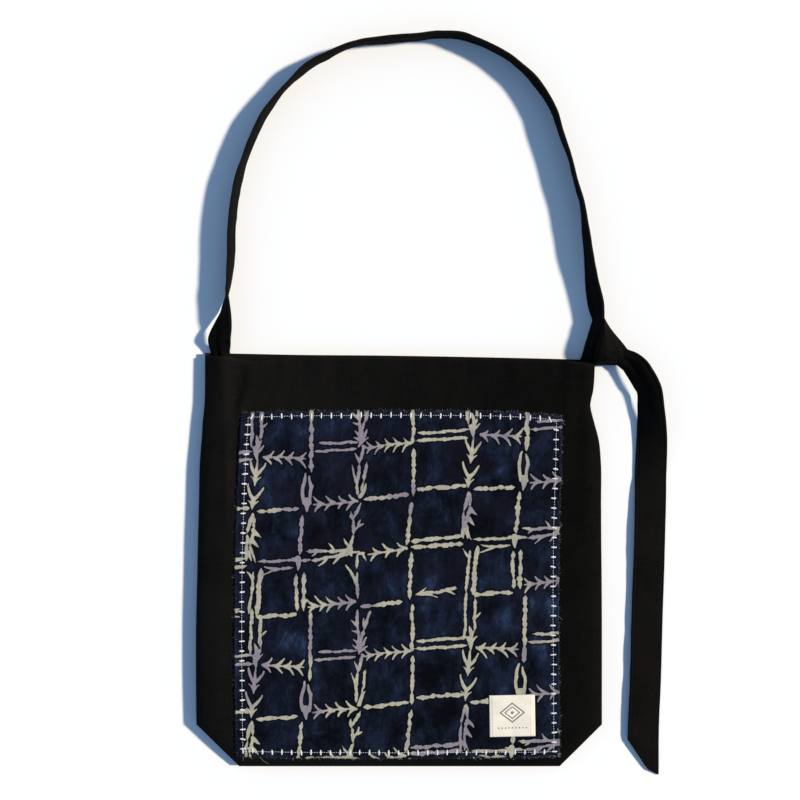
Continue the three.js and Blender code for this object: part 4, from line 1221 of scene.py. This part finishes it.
def band_profile(breadth, thickness):
    """Section of a folded band: flat faces with a seam groove near each edge, and round edges."""
    half, round_edge = breadth / 2, thickness / 2
    steps = np.array([0, 0.7, 1.5, 2.2, 2.7, 3.0, 3.3, 3.8, 4.6, 6.5, 9.0, 12.0]) * mm
    inner = half - round_edge - steps
    inner = inner[inner > 0.001]
    line = np.concatenate([inner, [0.0], -inner[::-1]])
    edge_gap = half - np.abs(line)
    groove = 0.45 * mm * np.exp(-(((edge_gap - seam_inset) / 0.0008) ** 2))
    puff = 0.25 * mm * np.cos(math.pi * line / breadth) ** 2
    face = round_edge - groove + puff
    turn = np.linspace(0, math.pi, 6)[1:-1]
    far_x = -half + round_edge - np.sin(turn) * round_edge
    far_z = np.cos(turn) * round_edge
    x = np.concatenate([line, far_x, line[::-1], -far_x])
    z = np.concatenate([face, far_z, -face[::-1], -far_z])
    return x, z


# Creases of the band where it is gathered: lift in millimetres, then the place across and the
# breadth as shares of the band
band_creases = [(1.1, -0.22, 0.09), (-1.7, 0.02, 0.07), (1.0, 0.24, 0.08)]

# The tail's slanting end as two straight cuts that meet in a blunt tip: slope and start, as
# shares of the slant
tail_cuts = [(1.29, 0.145), (0.45, 0.27)]


def band_surface(plan, values, steps, seed, gathered):
    """The band as rings: its profile carried along the curve, tilted, cupped, creased and rippled.

    The tilted ring is moved up or down until its lowest point is at the stop's height, and the
    last rings are drawn out along the curve by the lesser of the two cuts.
    """
    path = curve_through(plan, steps)
    stops = np.arange(len(plan))
    passed = np.arange(len(path)) / steps
    columns = {"stop": stops, **values}
    value = {key: between(columns, "stop", passed, key)[:, None] for key in values}
    slope = np.gradient(path, axis=0)
    slope /= np.linalg.norm(slope, axis=1, keepdims=True)
    run = np.concatenate([[0], np.cumsum(np.linalg.norm(np.diff(path, axis=0), axis=1))])
    leftward = np.stack([-slope[:, 1], slope[:, 0], 0 * run], -1)[:, None]
    along = np.stack([slope[:, 0], slope[:, 1], 0 * run], -1)[:, None]
    across_at, offset = band_profile(strap_width, strap_cloth)
    ripple = 0.5 * mm * soft_noise(run[:, None], across_at[None], 0.021, 0.02, seed)
    ripple += 0.22 * mm * soft_noise(run[:, None], across_at[None], 0.008, 0.012, seed + 1)
    tilt = np.radians(value["tilt"] + 1.6 * soft_noise(run, 0 * run, 0.04, 1.0, seed + 2)[:, None])
    line = across_at[None] / strap_width
    upward = np.array([0.0, 0.0, 1.0])
    across = leftward * np.cos(tilt)[..., None] + upward * np.sin(tilt)[..., None]
    facing = -leftward * np.sin(tilt)[..., None] + upward * np.cos(tilt)[..., None]
    near_start = 1 - smoothstep(0.02, 0.09, run)
    near_end = 1 - smoothstep(0.03, 0.1, run[-1] - run)
    near = gathered[0] * near_start + gathered[1] * near_end
    crease = sum(lift * np.exp(-(((line - place) / wide) ** 2)) for lift, place, wide in band_creases)
    cupped = value["cup"] * strap_width * (1 - 4 * line**2)
    bowed = cupped + offset[None] + ripple + near[:, None] * crease * mm
    points = np.stack([path[:, 0], path[:, 1], 0 * run], -1)[:, None]
    points = points + across * (line * value["wide"] * strap_width)[..., None] + facing * bowed[..., None]
    drawn_out = np.min([slope_across * line + start for slope_across, start in tail_cuts], axis=0)
    points = points + along * (value["slant"] * drawn_out)[..., None]
    points[:, :, 2] += value["low"] - points[:, :, 2].min(1, keepdims=True)
    return points, run, across_at


def band_facts(points, run, across_at):
    """The canvas attributes of a band: the lay along and across, and both seams near its edges."""
    many = points.shape[:2]
    along = np.broadcast_to(run[:, None], many)
    across = np.broadcast_to(across_at[None], many)
    edge_gap = strap_width / 2 - np.abs(across)
    paled = 0.9 * np.exp(-np.maximum(edge_gap, 0) / 0.0009)
    lay = np.stack([across, along, 0 * along], -1).reshape(-1, 3)
    return canvas_facts(points, (edge_gap - seam_inset).ravel(), along.ravel(), paled.ravel(), lay)


def add_band(name, nodes, stops, steps, seed, gathered, material):
    """A closed band piece from its stops, creased where either end is gathered."""
    points, run, across_at = band_surface(*stops, steps, seed, gathered)
    facts = band_facts(points, run, across_at)
    flat, faces = closed_tubes(points[None])
    return make_piece(name, flat, faces, material, nodes, facts)


# The knot, by sections from its top to its foot. The columns are shares: down of its length,
# left and right how far it reaches of its breadth, top of its thickness, and where its crest
# lies from its left side to its right
knot_sections = {
    "down": [-0.09, 0.0, 0.13, 0.31, 0.47, 0.6, 0.7, 0.8, 0.9, 0.97, 1.03],
    "left": [0.02, -0.06, -0.13, -0.23, -0.33, -0.41, -0.48, -0.53, -0.57, -0.58, -0.5],
    "right": [0.08, 0.16, 0.277, 0.473, 0.673, 0.83, 0.94, 1.0, 0.95, 0.84, 0.6],
    "top": [0.95, 1.12, 1.24, 1.33, 1.4, 1.42, 1.4, 1.32, 1.08, 0.76, 0.38],
    "crest": [0.3, 0.22, 0.15, 0.1, 0.08, 0.08, 0.1, 0.14, 0.22, 0.34, 0.5],
}

# Shape of a section: how far its sides are moved right, the powers that make its ellipse a
# rounded box, how broad its crest is, how high it is far from the crest and where it is broadest
knot_left_shift = 0.0026
knot_right_shift = 0.0013
box_left = 0.4
box_right = 0.8
box_up = 0.62
crest_breadth = 0.62
far_height = 0.42
broadest_at = 0.42

# Places on the knot in metres, right of the strap's end and below the knot's top
fold_apex = (0.0015, -0.004)
pocket_place = (0.011, 0.0345)
belt_place = (0.001, 0.04)
cut_breadth = 0.0012

# Folds that fan out from the apex: lift in millimetres, then angle and breadth in degrees
knot_folds = [(1.5, 101, 6), (-0.8, 90, 4), (0.6, 80, 5), (-0.7, 70, 3.5), (0.5, 63, 4), (-0.6, 56, 3)]

# Grooves between the wraps on the knot's right side, which wind down it: angle and breadth in
# degrees, then the turn from top to foot and the depth
side_grooves = [(8, 7), (62, 6)]
groove_turn = 75
groove_depth = 1.8 * mm


def fold_line(angle, middle, breadth):
    """A rounded fold across an angle: a bell, 1 on its line and near 0 beyond twice its breadth."""
    return np.exp(-(((angle - middle) / breadth) ** 2))


def knot_cuts(beside, below):
    """How deep the knot is cut, in millimetres: a pocket, a crease that leaves it and a belt below."""
    right, down = beside - pocket_place[0], below - pocket_place[1]
    pocket = np.exp(-((right / 0.004) ** 2) - (down / 0.002) ** 2)
    reach = smoothstep(-0.0015, 0.0035, right) * (1 - smoothstep(0.0125, 0.0165, right))
    crease = np.exp(-(((right * 0.83 + down * 0.56) / cut_breadth) ** 2)) * reach
    off_belt = below - belt_place[1] + 0.1 * (beside - belt_place[0])
    belt = np.exp(-((off_belt / cut_breadth) ** 2)) * (1 - smoothstep(0.013, 0.021, beside))
    return 3.6 * pocket + 1.1 * crease + 1.2 * belt


def add_knot(material):
    """The knot: rounded boxes as sections, with folds that fan out from its top.

    Each section is an ellipse whose cosine and sine are raised to powers, which boxes it beside
    the strap and rounds it at the right. Its upper side is lifted by the folds and cut by the
    pocket, the crease and the belt. Its right side is drawn in along the grooves.
    """
    rows, sides_round = 90, 120
    down = np.linspace(knot_sections["down"][0], knot_sections["down"][-1], rows)[:, None]
    turn = (np.arange(sides_round) * 2 * math.pi / sides_round)[None]
    value = {key: between(knot_sections, "down", down, key) for key in ("left", "right", "top", "crest")}
    left = knot_x + knot_left_shift + value["left"] * knot_width * 0.5
    right = knot_x + knot_right_shift + value["right"] * knot_width
    cosine, sine = np.cos(turn), np.sin(turn)
    box = np.sign(cosine) * np.abs(cosine) ** np.where(cosine < 0, box_left, box_right)
    share = 0.5 + 0.5 * box
    x = left + share * (right - left)
    y = knot_top - down * knot_length + 0 * x
    peak = np.exp(-(((share - value["crest"]) / crest_breadth) ** 2))
    height = value["top"] * knot_thickness * (far_height + (1 - far_height) * peak)
    middle = height * broadest_at
    z = middle + np.where(sine > 0, height - middle, middle) * np.sign(sine) * np.abs(sine) ** box_up

    beside, below = x - knot_x, knot_top - y
    from_apex = (beside - fold_apex[0], below - fold_apex[1])
    angle = np.degrees(np.arctan2(from_apex[1], from_apex[0]))
    away = np.hypot(*from_apex)
    grown = smoothstep(0.003, 0.016, away) * smoothstep(-0.2, 0.5, sine)
    folds = sum(lift * fold_line(angle, middle_at, wide) for lift, middle_at, wide in knot_folds)
    upper = smoothstep(0, 0.5, sine)
    z = z + folds * mm * grown
    z = z - knot_cuts(beside, below) * mm * upper
    z = z + 0.25 * mm * soft_noise(x, y, 0.005, 0.005, 71) * upper

    spiral = np.degrees(np.arctan2(sine, cosine)) + groove_turn * down
    on_side = smoothstep(0.75, 0.2, sine) * smoothstep(-0.2, 0.3, cosine)
    x = x - groove_depth * sum(fold_line(spiral, *groove) for groove in side_grooves) * on_side
    z = np.maximum(z, 0.0002)
    points = np.stack([x, y, z], -1)
    flat, faces = closed_tubes(points[None])
    lay = np.stack([away, np.radians(angle) * 0.02, 0 * away], -1).reshape(-1, 3)
    # Painted highlight: the raised fold ridges on the knot's upper side are painted paler
    paled = np.clip(folds, 0, 1.5) * grown * 0.3
    facts = canvas_facts(points, np.full(points.shape[:2], 1.0).ravel(), away.ravel(), paled.ravel(), lay)
    return make_piece("knot", flat, faces, material, ["strap_knot"], facts)


add_camera()
add_studio()
groups = {"weave": weave_group(), "seam": stitch_group()}
black_canvas = canvas_material(groups)
wax_print = print_material(groups)
white_thread = thread_material("white_thread", srgb(244, 243, 238), srgb(196, 198, 202))
raw_thread = thread_material("raw_cotton_thread", srgb(168, 170, 170), srgb(22, 28, 44))
cream_cotton = label_material(groups)

front = add_wall(
    "front_cloth", "front_panel", front_height, front_round, "front", 138, 134, True, black_canvas
)
back = add_wall("back_cloth", "back_panel", back_height, back_round, "back", 60, 60, False, black_canvas)
patch = add_patch(wax_print)
bars = add_bars(white_thread)
running = add_running_thread(white_thread)
fray = add_fray(raw_thread, print_strokes())
label = add_label(cream_cotton)
strap_nodes = ["shoulder_strap", "strap_tab"]
add_band("strap_band", strap_nodes, strap_stops(), 14, 81, (1, -0.4), black_canvas)
add_band("tail_band", ["strap_tail"], tail_stops(), 16, 91, (1, 0), black_canvas)
add_knot(black_canvas)
